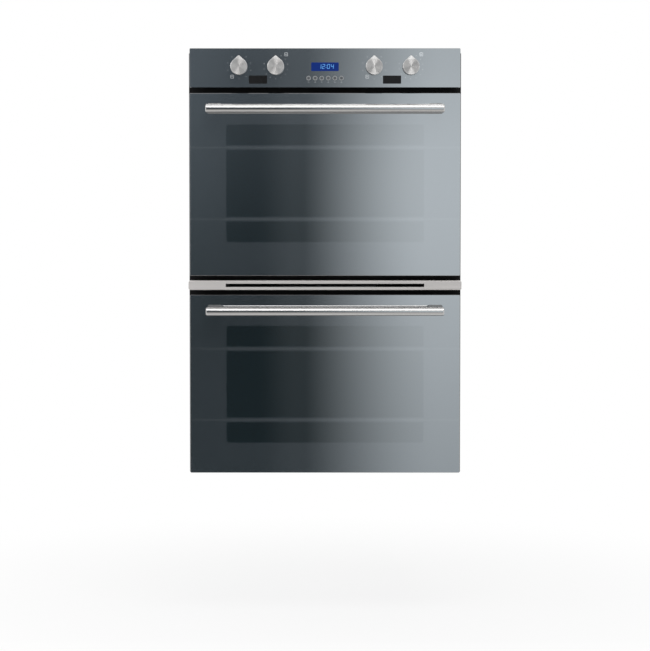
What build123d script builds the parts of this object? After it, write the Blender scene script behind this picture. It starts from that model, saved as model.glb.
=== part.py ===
from build123d import *
import os
from math import acos, asin, cos, degrees, radians, sin

# Built-in double wall oven. +Z is up, the front faces -Y and +X is to the viewer's right.
# The origin is the middle of the casing's underside. All lengths are in millimetres.

# Front face
FRONT_WIDTH = 760.0
PANEL_HEIGHT = 110.0
UPPER_DOOR_HEIGHT = 512.0
LOWER_DOOR_HEIGHT = 503.0
TRIM_HEIGHT = 26.0
PANEL_GAP = 16.0
TRIM_GAP = 14.0
DOOR_LIFT = 3.0
GLASS = 4.0
GLASS_CORNER = 2.0
GLASS_BEVEL = 0.8

# Casing
FLANGE_OVERLAP = 26.0
CASE_DEPTH = 550.0
CASE_TOP_DROP = 18.0
FRAME_TOP_DROP = 12.0
FRAME_SHEET = 1.5
CASE_SHEET = 1.2
SIDE_FLANGE = 15.0
PAN_LIP = 14.0
LIP_CLEARANCE = 0.2
LIP_SETBACK = 6.0
FIXING_RADIUS = 2.6
FIXING_INSET = 13.0
LOUVRE_LENGTH = 90.0
LOUVRE_HEIGHT = 6.0
LOUVRE_PITCH = 16.0
LOUVRE_ROWS = 4
LOUVRE_EDGE = 70.0

# Doors
DOOR_STANDOFF = 6.5
DOOR_BODY = 36.0
PAN_SHEET = 1.2
PAN_INSET = 4.0
WINDOW_MARGIN = 90.0
WINDOW_HINGE_SPACE = 55.5
PANE_OVERLAP = 15.0
PANE_CLEARANCE = 0.4
RETAINER_HEIGHT = 16.0
RETAINER_LEDGE = 6.0
DOOR_VENT_LENGTH = 100.0
DOOR_VENT_HEIGHT = 5.0
DOOR_VENT_PITCH = 130.0
DOOR_VENTS = 4

# Door hinges
PIVOT_RISE = 14.0
PIVOT_DEPTH = 26.0
HINGE_INSET = 24.0
HINGE_PLATE = 4.0
ARM_HEIGHT = 12.0
ARM_TAIL = 22.0
EYE_RADIUS = 8.0
PIN_RADIUS = 4.0
PIN_SIDES = 16
RUNNING_CLEARANCE = 0.05
SLOT_CLEARANCE = 0.2
HOOK_LENGTH = 8.0
HOOK_DROP = 8.0
CHANNEL_HEIGHT = 120.0
CHANNEL_WALL = 2.0
CHANNEL_CLEARANCE = 2.5
EYE_CLEARANCE = 1.0
NOTCH_CLEARANCE = 1.5

# Handles
BAR_RADIUS = 12.0
BAR_INSET = 47.5
BAR_END_BEVEL = 2.5
HANDLE_REACH = 50.0
HANDLE_DROP = 44.0
POST_END_INSET = 2.5
POST_FOOT_WIDTH = 38.5
POST_FOOT_HEIGHT = 18.0
POST_HEAD_WIDTH = 46.0
POST_HEAD_HEIGHT = 19.0
POST_RISE = 7.0
POST_CORNER = 2.5
SADDLE_CLEARANCE = 0.05

# Vent trim between the doors
TRIM_OVERHANG = 4.0
TRIM_PROUD = 4.0
TRIM_SHEET = 1.5
TRIM_CORNER = 5.0
TRIM_BEVEL = 1.0
VENT_INSET = 101.0
VENT_HEIGHT = 9.4
DUCT_HEIGHT = 20.0

# Control panel
PANEL_SETBACK = 5.0
TRAY_INSET = 6.0
TRAY_SHEET = 1.5
KNOB_RADIUS = 23.5
KNOB_TIP = 31.5
KNOB_TIP_ROUND = 3.5
KNOB_DEPTH = 22.0
KNOB_BEVEL = 1.2
KNOB_CLEARANCE = 0.8
KNOB_OUTER_X = 241.0
KNOB_INNER_X = 138.0
KNOB_RISE = 3.4
SPINDLE_RADIUS = 4.0
SPINDLE_HOLE = 6.0
SPINDLE_GRIP = 18.0
SWITCH_SIDE = 40.0
SWITCH_DEPTH = 23.0
SWITCH_NECK = 9.0
SWITCH_NECK_LENGTH = 6.0
BUTTON_RADIUS = 6.5
BUTTON_SIDES = 16
BUTTON_PITCH = 18.4
BUTTON_DROP = 28.7
BUTTON_PROUD = 1.9
BUTTON_FLANGE = 8.0
BUTTON_FLANGE_SHEET = 1.2
BUTTON_SEAT = 0.3
BUTTON_CLEARANCE = 0.08
BUTTON_POCKET = 6.0
CLOCK_WIDTH = 124.0
CLOCK_HEIGHT = 62.0
CLOCK_DEPTH = 22.0
CLOCK_DROP = 9.0
READOUT_X = 188.0
READOUT_DROP = 32.8
READOUT_WIDTH = 51.0
READOUT_HEIGHT = 23.0
READOUT_DEPTH = 14.0

# Oven cavities
CAVITY_SIDE_SPACE = 58.0
CAVITY_MARGIN = 61.0
CAVITY_DEPTH = 420.0
CAVITY_WALL = 1.5
CAVITY_CORNER = 14.0
CAVITY_FLANGE = 16.0
GASKET_OFFSET = 4.0
GASKET_WIDTH = 9.0
GASKET_CLEARANCE = 0.3
INSULATION = 24.0
SEAT = 0.3

# Racks and trays
WIRE_RADIUS = 2.5
FINE_WIRE_RADIUS = 1.8
WIRE_SIDES = 8
FINE_WIRE_SIDES = 6
WELD = 0.5
LEVELS = 4
FIRST_LEVEL = 60.0
LEVEL_PITCH = 76.0
LADDER_END = 20.0
LADDER_INSET = 34.0
POST_INSET = 72.0
RACK_LEVEL = 1
RACK_BAR = 6.0
RACK_CORNER = 16.0
RACK_FRONT = 30.0
RACK_BACK = 64.0
RACK_SIDE = 4.0
RACK_WIRES = 13
TRAY_LEVEL = 0
BAKE_SHEET = 1.2
BAKE_DEPTH = 26.0
BAKE_RIM = 12.0

# Convection fan and heating elements
FAN_COVER_WIDTH = 330.0
FAN_COVER_HEIGHT = 270.0
FAN_COVER_CORNER = 46.0
FAN_COVER_DEPTH = 44.0
FAN_COVER_TAPER = 10.0
FAN_COVER_SHEET = 1.2
FAN_COVER_FLANGE = 12.0
INTAKE_HOLE = 11.0
INTAKE_RINGS = 2
INTAKE_SIDES = 6
INTAKE_PITCH = 28.0
OUTLET_LENGTH = 60.0
OUTLET_HEIGHT = 10.0
OUTLET_PITCH = 78.0
FAN_RADIUS = 72.0
FAN_SIDES = 24
FAN_DISC = 1.5
FAN_GAP = 8.0
FAN_BLADES = 8
FAN_BLADE_DEPTH = 20.0
FAN_BLADE_SHEET = 1.6
FAN_BLADE_LENGTH = 38.0
FAN_BLADE_ANGLE = 25.0
FAN_HUB = 13.0
SHAFT_RADIUS = 4.0
SHAFT_HOLE = 7.0
SHAFT_GRIP = 36.0
MOTOR_PLATE = 104.0
MOTOR_PLATE_SHEET = 2.0
MOTOR_RADIUS = 30.0
MOTOR_SIDES = 12
MOTOR_LENGTH = 48.0
ELEMENT_RADIUS = 3.2
RING_RADIUS = 94.0
RING_TERMINAL = 18.0
RING_STANDOFF = 20.0
RING_BENDS = 18
TERMINAL_LENGTH = 24.0
TERMINAL_CLEARANCE = 0.3
GRILL_DROP = 24.0
GRILL_HALF_WIDTH = 205.0
GRILL_TERMINAL = 45.0
GRILL_FRONT = 60.0
GRILL_BACK = 90.0
GRILL_BEND = 22.0
BASE_HALF_WIDTH = 190.0
BASE_FRONT = 70.0
BASE_BACK = 60.0
BASE_GAP = 60.0
LAMP_INSET = 75.0
LAMP_DROP = 66.0
LAMP_LENS = 21.0
LAMP_SIDES = 16
LAMP_LENS_RISE = 9.0
LAMP_BODY = 16.0
LAMP_BODY_LENGTH = 38.0

# Cooling blower between the ovens
BLOWER_LENGTH = 300.0
BLOWER_RADIUS = 40.0
BLOWER_RISE = 8.0
BLOWER_DEPTH = 120.0
BLOWER_SHEET = 1.2
BLOWER_END_MARGIN = 3.0
WHEEL_RADIUS = 30.0
WHEEL_SIDES = 16
WHEEL_DISC = 1.5
WHEEL_END_GAP = 3.0
WHEEL_BLADES = 12
WHEEL_BLADE_SHEET = 1.0
WHEEL_BLADE_LENGTH = 9.0
WHEEL_BLADE_ANGLE = 30.0
AXLE_RADIUS = 3.0
AXLE_GRIP = 20.0
BLOWER_MOTOR_RADIUS = 26.0
BLOWER_MOTOR_LENGTH = 34.0

# Supply terminal box on the back
TERMINAL_WIDTH = 96.0
TERMINAL_HEIGHT = 62.0
TERMINAL_BOX_DEPTH = 26.0
TERMINAL_SIDE = 128.0
TERMINAL_DROP = 90.0
TERMINAL_BEVEL = 2.0
GLAND_RADIUS = 12.0
GLAND_LENGTH = 14.0
GLAND_BORE = 7.0
GLAND_BORE_DEPTH = 20.0

# Derived sizes. Depths count forward from the cabinet's front plane.
FRAME_WIDTH = FRONT_WIDTH + 2 * TRIM_OVERHANG
CASE_WIDTH = FRAME_WIDTH - 2 * FLANGE_OVERLAP
CAVITY_WIDTH = CASE_WIDTH - 2 * CAVITY_SIDE_SPACE
HINGE_X = CASE_WIDTH / 2 - HINGE_INSET
FIXING_X = FRAME_WIDTH / 2 - FIXING_INSET
LOWER_DOOR_BASE = DOOR_LIFT
TRIM_BASE = LOWER_DOOR_BASE + LOWER_DOOR_HEIGHT + TRIM_GAP
TRIM_MIDDLE = TRIM_BASE + TRIM_HEIGHT / 2
UPPER_DOOR_BASE = TRIM_BASE + TRIM_HEIGHT + TRIM_GAP
PANEL_BASE = UPPER_DOOR_BASE + UPPER_DOOR_HEIGHT + PANEL_GAP
PANEL_MIDDLE = PANEL_BASE + PANEL_HEIGHT / 2
FRONT_TOP = PANEL_BASE + PANEL_HEIGHT
CASE_TOP = FRONT_TOP - CASE_TOP_DROP
FRAME_TOP = FRONT_TOP - FRAME_TOP_DROP
GLASS_BACK = DOOR_STANDOFF + DOOR_BODY
DOOR_FACE = GLASS_BACK + GLASS
BAR_DEPTH = DOOR_FACE + HANDLE_REACH
PANEL_FACE = DOOR_FACE - PANEL_SETBACK
PANEL_BACK = PANEL_FACE - GLASS
PAN_FLOOR = DOOR_STANDOFF + PAN_SHEET
PAN_WIDTH = FRONT_WIDTH - 2 * PAN_INSET
WINDOW_WIDTH = 2 * (HINGE_X - WINDOW_HINGE_SPACE)
PANE_WIDTH = WINDOW_WIDTH + 2 * PANE_OVERLAP
CHANNEL_GAP = HINGE_PLATE + 2 * CHANNEL_CLEARANCE
CHANNEL_FRONT = PIVOT_DEPTH + EYE_RADIUS + EYE_CLEARANCE
WALL_X = CAVITY_WIDTH / 2
LADDER_POST_X = WALL_X - SEAT - WIRE_RADIUS
LADDER_RAIL_X = LADDER_POST_X - 2 * WIRE_RADIUS + WELD
BLOWER_Z = TRIM_MIDDLE + BLOWER_RISE
DECK_TOP = BLOWER_Z - BLOWER_RADIUS - BLOWER_END_MARGIN
CASE_BACK = CASE_DEPTH / 2
TERMINAL_X = CASE_WIDTH / 2 - TERMINAL_SIDE
LAMP_X = WALL_X - LAMP_INSET
BAR_LENGTH = FRONT_WIDTH - 2 * BAR_INSET
VENT_WIDTH = FRONT_WIDTH - 2 * VENT_INSET


class Oven:
    """Heights of one oven: its door, its hinge pivot and its cavity."""

    def __init__(self, name, door_base, door_height):
        self.name = name
        self.door_base = door_base
        self.door_height = door_height
        self.door_middle = door_base + door_height / 2
        self.pivot = door_base + PIVOT_RISE
        self.handle = door_base + door_height - HANDLE_DROP
        self.window_height = door_height - 2 * WINDOW_MARGIN
        self.pane_height = self.window_height + 2 * PANE_OVERLAP
        self.cavity_height = door_height - 2 * CAVITY_MARGIN
        self.floor = door_base + CAVITY_MARGIN
        self.ceiling = self.floor + self.cavity_height

    def level(self, index):
        return self.floor + FIRST_LEVEL + index * LEVEL_PITCH


OVENS = (
    Oven("upper", UPPER_DOOR_BASE, UPPER_DOOR_HEIGHT),
    Oven("lower", LOWER_DOOR_BASE, LOWER_DOOR_HEIGHT),
)


def front_y(depth):
    """The Y of a point that stands this far in front of the cabinet's front plane."""
    return -CASE_DEPTH / 2 - depth


def facing(depth, x=0.0, z=0.0):
    """A plane that faces the viewer: its x is +X, its y is +Z, and it extrudes forward."""
    return Plane(origin=(x, front_y(depth), z), x_dir=(1, 0, 0), z_dir=(0, -1, 0))


def side(x):
    """A plane across the width: its x is +Y, its y is +Z, and it extrudes to the right."""
    return Plane(origin=(x, 0, 0), x_dir=(0, 1, 0), z_dir=(1, 0, 0))


def save(piece, name):
    """Labels a finished piece and writes it as one node."""
    piece.label = name
    export_step(piece, f"parts/{name}.step")


def bevelled(width, height, cut, mode=Mode.ADD):
    """A centred rectangle whose corners are cut off at 45 degrees."""
    x = width / 2
    y = height / 2
    half = [(x, cut - y), (x, y - cut), (x - cut, y), (cut - x, y)]
    return Polygon(*half, *[(-px, -py) for px, py in half], align=None, mode=mode)


def bent_loop(right_half, z):
    """A level loop from the points of its right half, mirrored to the left, with its bends cut off."""
    corners = right_half + [(-x, y) for x, y in reversed(right_half)]
    points = [corners[0]]
    for before, corner, after in zip(corners, corners[1:], corners[2:]):
        for end in (before, after):
            way = Vector(*end) - Vector(*corner)
            cut = Vector(*corner) + way.normalized() * GRILL_BEND
            points.append((cut.X, cut.Y))
    points.append(corners[-1])
    return [(x, y, z) for x, y in points]


os.makedirs("parts", exist_ok=True)

# Front frame: the black sheet that overlaps the cabinet's edge, with the two oven mouths,
# the hinge slots, the cooling air outlet and the holes for the cabinet screws
with BuildPart() as front_frame:
    with BuildSketch(facing(0)):
        with Locations((0, FRAME_TOP / 2)):
            Rectangle(FRAME_WIDTH, FRAME_TOP)
        for oven in OVENS:
            with Locations((0, oven.door_middle)):
                bevelled(CAVITY_WIDTH, oven.cavity_height, CAVITY_CORNER, Mode.SUBTRACT)
            with Locations((-HINGE_X, oven.pivot), (HINGE_X, oven.pivot)):
                Rectangle(
                    HINGE_PLATE + 2 * SLOT_CLEARANCE,
                    ARM_HEIGHT + 2 * SLOT_CLEARANCE,
                    mode=Mode.SUBTRACT,
                )
            with Locations((-FIXING_X, oven.door_middle), (FIXING_X, oven.door_middle)):
                Circle(FIXING_RADIUS, mode=Mode.SUBTRACT)
        with Locations((0, TRIM_MIDDLE)):
            Rectangle(VENT_WIDTH, DUCT_HEIGHT, mode=Mode.SUBTRACT)
    extrude(amount=FRAME_SHEET)
save(front_frame.part, "front_frame")

# Side panels: sheets with inward flanges front and back and a field of louvre slots
with BuildPart() as side_panels:
    with BuildSketch(Plane.XY.offset(CASE_SHEET)):
        panel_depth = CASE_DEPTH - CASE_SHEET
        with Locations((CASE_WIDTH / 2, -CASE_DEPTH / 2)):
            Rectangle(CASE_SHEET, panel_depth, align=(Align.MAX, Align.MIN))
            Rectangle(SIDE_FLANGE, CASE_SHEET, align=(Align.MAX, Align.MIN))
        with Locations((CASE_WIDTH / 2, CASE_BACK - CASE_SHEET)):
            Rectangle(SIDE_FLANGE, CASE_SHEET, align=(Align.MAX, Align.MAX))
    extrude(amount=CASE_TOP - 2 * CASE_SHEET)
    with BuildSketch(side(CASE_WIDTH / 2)):
        louvre_y = CASE_BACK - LOUVRE_EDGE - LOUVRE_LENGTH / 2
        with Locations((louvre_y, TRIM_MIDDLE), (louvre_y, CASE_TOP - LOUVRE_EDGE - LOUVRE_PITCH)):
            with GridLocations(LOUVRE_LENGTH, LOUVRE_PITCH, 1, LOUVRE_ROWS):
                Rectangle(LOUVRE_LENGTH, LOUVRE_HEIGHT)
    extrude(amount=-CASE_SHEET, mode=Mode.SUBTRACT)
    mirror(about=Plane.YZ)
save(side_panels.part, "side_panels")


def lipped_sheet(base, lip_base):
    """A sheet across the whole casing with a lip that locates it inside the side panels."""
    lip_width = CASE_WIDTH - 2 * (CASE_SHEET + LIP_CLEARANCE)
    lip_front = front_y(-ARM_TAIL - LIP_SETBACK)
    lip_back = CASE_BACK - 2 * CASE_SHEET - LIP_CLEARANCE
    lip_depth = lip_back - lip_front
    with BuildPart() as sheet:
        with BuildSketch(Plane.XY.offset(base)):
            Rectangle(CASE_WIDTH, CASE_DEPTH)
        extrude(amount=CASE_SHEET)
        with BuildSketch(Plane.XY.offset(lip_base)):
            with Locations((0, (lip_front + lip_back) / 2)):
                Rectangle(lip_width, lip_depth)
                Rectangle(lip_width - 2 * CASE_SHEET, lip_depth - 2 * CASE_SHEET, mode=Mode.SUBTRACT)
        extrude(amount=PAN_LIP)
    return sheet.part


# Base pan and top cover
save(lipped_sheet(0, CASE_SHEET), "base_pan")
save(lipped_sheet(CASE_TOP - CASE_SHEET, CASE_TOP - CASE_SHEET - PAN_LIP), "top_cover")

# Back panel with louvres above the blower, out of line with the vent slot
with BuildPart() as back_panel:
    with BuildSketch(facing(-CASE_DEPTH)):
        with Locations((0, CASE_TOP / 2)):
            Rectangle(CASE_WIDTH, CASE_TOP - 2 * CASE_SHEET)
        louvre_x = CASE_WIDTH / 4
        louvre_z = TRIM_MIDDLE + LOUVRE_EDGE
        with Locations((-louvre_x, louvre_z), (louvre_x, louvre_z)):
            with GridLocations(LOUVRE_LENGTH, LOUVRE_PITCH, 1, LOUVRE_ROWS):
                Rectangle(LOUVRE_LENGTH, LOUVRE_HEIGHT, mode=Mode.SUBTRACT)
    extrude(amount=CASE_SHEET)
save(back_panel.part, "back_panel")

# Deck between the ovens, which carries the cooling blower
with BuildPart() as mid_deck:
    with BuildSketch(Plane.XY.offset(DECK_TOP)):
        Rectangle(CASE_WIDTH - 2 * CASE_SHEET, CASE_DEPTH - 4 * CASE_SHEET)
    extrude(amount=-CASE_SHEET)
save(mid_deck.part, "mid_deck")

# Vent trim: a hollow stainless bar with the slot that lets the cooling air out
with BuildPart() as trim_bar:
    trim_depth = DOOR_FACE + TRIM_PROUD - FRAME_SHEET
    with BuildSketch(facing(FRAME_SHEET, z=TRIM_MIDDLE)):
        RectangleRounded(FRAME_WIDTH, TRIM_HEIGHT, TRIM_CORNER)
    extrude(amount=trim_depth)
    chamfer(trim_bar.faces().sort_by(Axis.Y)[0].edges(), TRIM_BEVEL)
    with BuildSketch(facing(FRAME_SHEET, z=TRIM_MIDDLE)):
        bevelled(FRAME_WIDTH - 2 * TRIM_SHEET, TRIM_HEIGHT - 2 * TRIM_SHEET, TRIM_CORNER - TRIM_SHEET)
    extrude(amount=trim_depth - TRIM_SHEET, mode=Mode.SUBTRACT)
    with BuildSketch(facing(DOOR_FACE + TRIM_PROUD, z=TRIM_MIDDLE)):
        Rectangle(VENT_WIDTH, VENT_HEIGHT)
    extrude(amount=-TRIM_SHEET, mode=Mode.SUBTRACT)
save(trim_bar.part, "trim_bar")

# Hinge arms: plates hooked behind the front frame, each with the eye that takes a door's pin
with BuildPart() as hinge_arms:
    for oven in OVENS:
        with BuildSketch(side(HINGE_X)):
            with Locations((front_y(PIVOT_DEPTH), oven.pivot)):
                Rectangle(PIVOT_DEPTH + ARM_TAIL, ARM_HEIGHT, align=(Align.MIN, Align.CENTER))
                RegularPolygon(EYE_RADIUS, WIRE_SIDES)
                RegularPolygon(
                    PIN_RADIUS + RUNNING_CLEARANCE,
                    PIN_SIDES,
                    major_radius=False,
                    mode=Mode.SUBTRACT,
                )
            with Locations((front_y(-SLOT_CLEARANCE), oven.pivot)):
                Rectangle(HOOK_LENGTH, ARM_HEIGHT / 2 + HOOK_DROP, align=(Align.MIN, Align.MAX))
        extrude(amount=HINGE_PLATE / 2, both=True)
    mirror(about=Plane.YZ)
save(hinge_arms.part, "hinge_arms")

for oven in OVENS:
    pan_height = oven.door_height - 2 * PAN_INSET
    pan_base = oven.door_base + PAN_INSET

    # Outer door glass
    with BuildPart() as door_glass:
        with BuildSketch(facing(GLASS_BACK, z=oven.door_middle)):
            bevelled(FRONT_WIDTH, oven.door_height, GLASS_CORNER)
        extrude(amount=GLASS)
        chamfer(door_glass.faces().sort_by(Axis.Y)[0].edges(), GLASS_BEVEL)
    save(door_glass.part, f"{oven.name}_door_glass")

    # Door pan: the pressed inner door with its window, the retainer round the inner pane,
    # the notches for the hinge arms and the cooling slots along the top and bottom
    with BuildPart() as door_pan:
        with BuildSketch(facing(DOOR_STANDOFF, z=oven.door_middle)):
            Rectangle(PAN_WIDTH, pan_height)
        extrude(amount=DOOR_BODY)
        with BuildSketch(facing(PAN_FLOOR, z=oven.door_middle)):
            Rectangle(PAN_WIDTH - 2 * PAN_SHEET, pan_height - 2 * PAN_SHEET)
        extrude(amount=DOOR_BODY, mode=Mode.SUBTRACT)
        with BuildSketch(facing(DOOR_STANDOFF, z=oven.door_middle)):
            Rectangle(WINDOW_WIDTH, oven.window_height)
        extrude(amount=PAN_SHEET, mode=Mode.SUBTRACT)
        with BuildSketch(facing(PAN_FLOOR, z=oven.door_middle)):
            retainer_width = PANE_WIDTH + 2 * PANE_CLEARANCE
            retainer_height = oven.pane_height + 2 * PANE_CLEARANCE
            Rectangle(retainer_width + 2 * PAN_SHEET, retainer_height + 2 * PAN_SHEET)
            Rectangle(retainer_width, retainer_height, mode=Mode.SUBTRACT)
        extrude(amount=RETAINER_HEIGHT)
        with BuildSketch(facing(DOOR_STANDOFF)):
            notch_top = oven.pivot + ARM_HEIGHT / 2 + NOTCH_CLEARANCE
            with Locations((-HINGE_X, pan_base), (HINGE_X, pan_base)):
                Rectangle(CHANNEL_GAP, notch_top - pan_base, align=(Align.CENTER, Align.MIN))
        extrude(amount=PAN_SHEET, mode=Mode.SUBTRACT)
        with BuildSketch(Plane.XY.offset(pan_base)):
            notch_depth = PIVOT_DEPTH + ARM_HEIGHT / 2 + NOTCH_CLEARANCE - DOOR_STANDOFF
            with Locations((-HINGE_X, front_y(DOOR_STANDOFF)), (HINGE_X, front_y(DOOR_STANDOFF))):
                Rectangle(CHANNEL_GAP, notch_depth, align=(Align.CENTER, Align.MAX))
        extrude(amount=PAN_SHEET, mode=Mode.SUBTRACT)
        with BuildSketch(Plane.XY.offset(pan_base)):
            with Locations((0, front_y(DOOR_STANDOFF + DOOR_BODY / 2))):
                with GridLocations(DOOR_VENT_PITCH, DOOR_VENT_HEIGHT, DOOR_VENTS, 1):
                    Rectangle(DOOR_VENT_LENGTH, DOOR_VENT_HEIGHT)
        extrude(amount=pan_height, mode=Mode.SUBTRACT)
    save(door_pan.part, f"{oven.name}_door_pan")

    # Inner and middle panes: one inside the retainer, the other on its rim
    with BuildPart() as door_panes:
        with BuildSketch(facing(PAN_FLOOR, z=oven.door_middle)):
            Rectangle(PANE_WIDTH, oven.pane_height)
        extrude(amount=GLASS)
        with BuildSketch(facing(PAN_FLOOR + RETAINER_HEIGHT, z=oven.door_middle)):
            pane_growth = 2 * (PANE_CLEARANCE + PAN_SHEET + RETAINER_LEDGE)
            Rectangle(PANE_WIDTH + pane_growth, oven.pane_height + pane_growth)
        extrude(amount=GLASS)
    save(door_panes.part, f"{oven.name}_door_panes")

    # Hinge channels with their pins, inside the door's lower corners
    with BuildPart() as hinge_channels:
        with BuildSketch(Plane.XY.offset(pan_base + PAN_SHEET)):
            with Locations((HINGE_X, front_y(PAN_FLOOR))):
                Rectangle(
                    CHANNEL_GAP + 2 * CHANNEL_WALL,
                    CHANNEL_FRONT + CHANNEL_WALL - PAN_FLOOR,
                    align=(Align.CENTER, Align.MAX),
                )
                Rectangle(
                    CHANNEL_GAP,
                    CHANNEL_FRONT - PAN_FLOOR,
                    align=(Align.CENTER, Align.MAX),
                    mode=Mode.SUBTRACT,
                )
        extrude(amount=CHANNEL_HEIGHT)
        with BuildSketch(side(HINGE_X)):
            with Locations((front_y(PIVOT_DEPTH), oven.pivot)):
                RegularPolygon(PIN_RADIUS, PIN_SIDES)
        extrude(amount=CHANNEL_GAP / 2 + CHANNEL_WALL, both=True)
        mirror(about=Plane.YZ)
    save(hinge_channels.part, f"{oven.name}_hinge_channels")

    # Handle bar
    with BuildPart() as handle_bar:
        with BuildSketch(side(0)):
            with Locations((front_y(BAR_DEPTH), oven.handle)):
                Circle(BAR_RADIUS)
        extrude(amount=BAR_LENGTH / 2, both=True)
        chamfer(handle_bar.edges().filter_by(GeomType.CIRCLE), BAR_END_BEVEL)
    save(handle_bar.part, f"{oven.name}_handle_bar")

    # Handle posts: flared blocks that hold the bar in a saddle, a little below their feet
    with BuildPart() as handle_posts:
        post_outer = BAR_LENGTH / 2 - POST_END_INSET
        with BuildSketch(facing(DOOR_FACE)) as foot:
            with Locations((post_outer - POST_FOOT_WIDTH / 2, oven.handle + POST_RISE)):
                Rectangle(POST_FOOT_WIDTH, POST_FOOT_HEIGHT)
            chamfer(foot.vertices(), POST_CORNER)
        with BuildSketch(facing(BAR_DEPTH)) as head:
            with Locations((post_outer - POST_HEAD_WIDTH / 2, oven.handle)):
                Rectangle(POST_HEAD_WIDTH, POST_HEAD_HEIGHT)
            chamfer(head.vertices(), POST_CORNER)
        loft(ruled=True)
        with BuildSketch(side(0)):
            with Locations((front_y(BAR_DEPTH), oven.handle)):
                Circle(BAR_RADIUS + SADDLE_CLEARANCE)
        extrude(amount=BAR_LENGTH, mode=Mode.SUBTRACT)
        mirror(about=Plane.YZ)
    save(handle_posts.part, f"{oven.name}_handle_posts")

    # Cavity: the enamelled liner with its front flange and the openings in its back wall
    cavity_back = -CAVITY_DEPTH
    lamp_z = oven.ceiling - LAMP_DROP
    ring_drop = RING_RADIUS * cos(asin(RING_TERMINAL / RING_RADIUS))
    ring_terminals = [
        (-RING_TERMINAL, oven.door_middle - ring_drop),
        (RING_TERMINAL, oven.door_middle - ring_drop),
    ]
    grill_z = oven.ceiling - GRILL_DROP
    grill_terminals = [(-GRILL_TERMINAL, grill_z), (GRILL_TERMINAL, grill_z)]
    with BuildPart() as cavity:
        with BuildSketch(facing(0, z=oven.door_middle)):
            growth = 2 * CAVITY_WALL
            bevelled(CAVITY_WIDTH + growth, oven.cavity_height + growth, CAVITY_CORNER)
        extrude(amount=cavity_back - CAVITY_WALL)
        with BuildSketch(facing(0, z=oven.door_middle)):
            growth = 2 * (CAVITY_WALL + CAVITY_FLANGE)
            Rectangle(CAVITY_WIDTH + growth, oven.cavity_height + growth)
        extrude(amount=-CAVITY_WALL)
        with BuildSketch(facing(0, z=oven.door_middle)):
            bevelled(CAVITY_WIDTH, oven.cavity_height, CAVITY_CORNER)
        extrude(amount=cavity_back, mode=Mode.SUBTRACT)
        with BuildSketch(facing(cavity_back)):
            with Locations((0, oven.door_middle)):
                RegularPolygon(SHAFT_HOLE, WIRE_SIDES)
            with Locations((LAMP_X, lamp_z)):
                RegularPolygon(LAMP_BODY + SEAT, WIRE_SIDES)
            with Locations(*ring_terminals, *grill_terminals):
                RegularPolygon(ELEMENT_RADIUS + TERMINAL_CLEARANCE, WIRE_SIDES)
        extrude(amount=-CAVITY_WALL, mode=Mode.SUBTRACT)
    save(cavity.part, f"{oven.name}_cavity")

    # Door gasket round the oven's mouth
    with BuildPart() as gasket:
        with BuildSketch(facing(FRAME_SHEET, z=oven.door_middle)):
            growth = 2 * (GASKET_OFFSET + GASKET_WIDTH)
            bevelled(CAVITY_WIDTH + growth, oven.cavity_height + growth, CAVITY_CORNER + GASKET_WIDTH)
            growth = 2 * GASKET_OFFSET
            bevelled(CAVITY_WIDTH + growth, oven.cavity_height + growth, CAVITY_CORNER, Mode.SUBTRACT)
        extrude(amount=DOOR_STANDOFF - FRAME_SHEET - GASKET_CLEARANCE)
    save(gasket.part, f"{oven.name}_gasket")

    # Rack ladders: wire frames on the side walls, with a rail for each shelf level
    with BuildPart() as rack_ladders:
        ladder_base = oven.level(0) - LADDER_END
        ladder_length = (LEVELS - 1) * LEVEL_PITCH + 2 * LADDER_END
        with BuildSketch(Plane.XY.offset(ladder_base)):
            for depth in (POST_INSET, CAVITY_DEPTH - POST_INSET):
                with Locations((LADDER_POST_X, front_y(-depth))):
                    RegularPolygon(WIRE_RADIUS, FINE_WIRE_SIDES)
        extrude(amount=ladder_length)
        with BuildSketch(facing(-LADDER_INSET)):
            for index in range(LEVELS):
                with Locations((LADDER_RAIL_X, oven.level(index))):
                    RegularPolygon(WIRE_RADIUS, FINE_WIRE_SIDES)
        extrude(amount=2 * LADDER_INSET - CAVITY_DEPTH)
        mirror(about=Plane.YZ)
    save(rack_ladders.part, f"{oven.name}_rack_ladders")

    # Wire rack: a frame with cut corners, filled with fine wires from front to back
    with BuildPart() as wire_rack:
        rack_base = oven.level(RACK_LEVEL) + WIRE_RADIUS + SEAT
        rack_width = 2 * (WALL_X - RACK_SIDE - WIRE_RADIUS)
        rack_length = CAVITY_DEPTH - RACK_FRONT - RACK_BACK
        rack_middle = front_y(-RACK_FRONT - rack_length / 2)
        with BuildSketch(Plane.XY.offset(rack_base)):
            with Locations((0, rack_middle)):
                growth = 2 * RACK_BAR
                bevelled(rack_width, rack_length, RACK_CORNER)
                bevelled(rack_width - growth, rack_length - growth, RACK_CORNER - RACK_BAR / 2, Mode.SUBTRACT)
        extrude(amount=RACK_BAR)
        with BuildSketch(facing(-RACK_FRONT - RACK_BAR / 2)):
            with Locations((0, rack_base + RACK_BAR / 2)):
                with GridLocations(rack_width / (RACK_WIRES + 1), RACK_BAR, RACK_WIRES, 1):
                    RegularPolygon(FINE_WIRE_RADIUS, FINE_WIRE_SIDES)
        extrude(amount=RACK_BAR - rack_length)
    save(wire_rack.part, f"{oven.name}_wire_rack")

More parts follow.
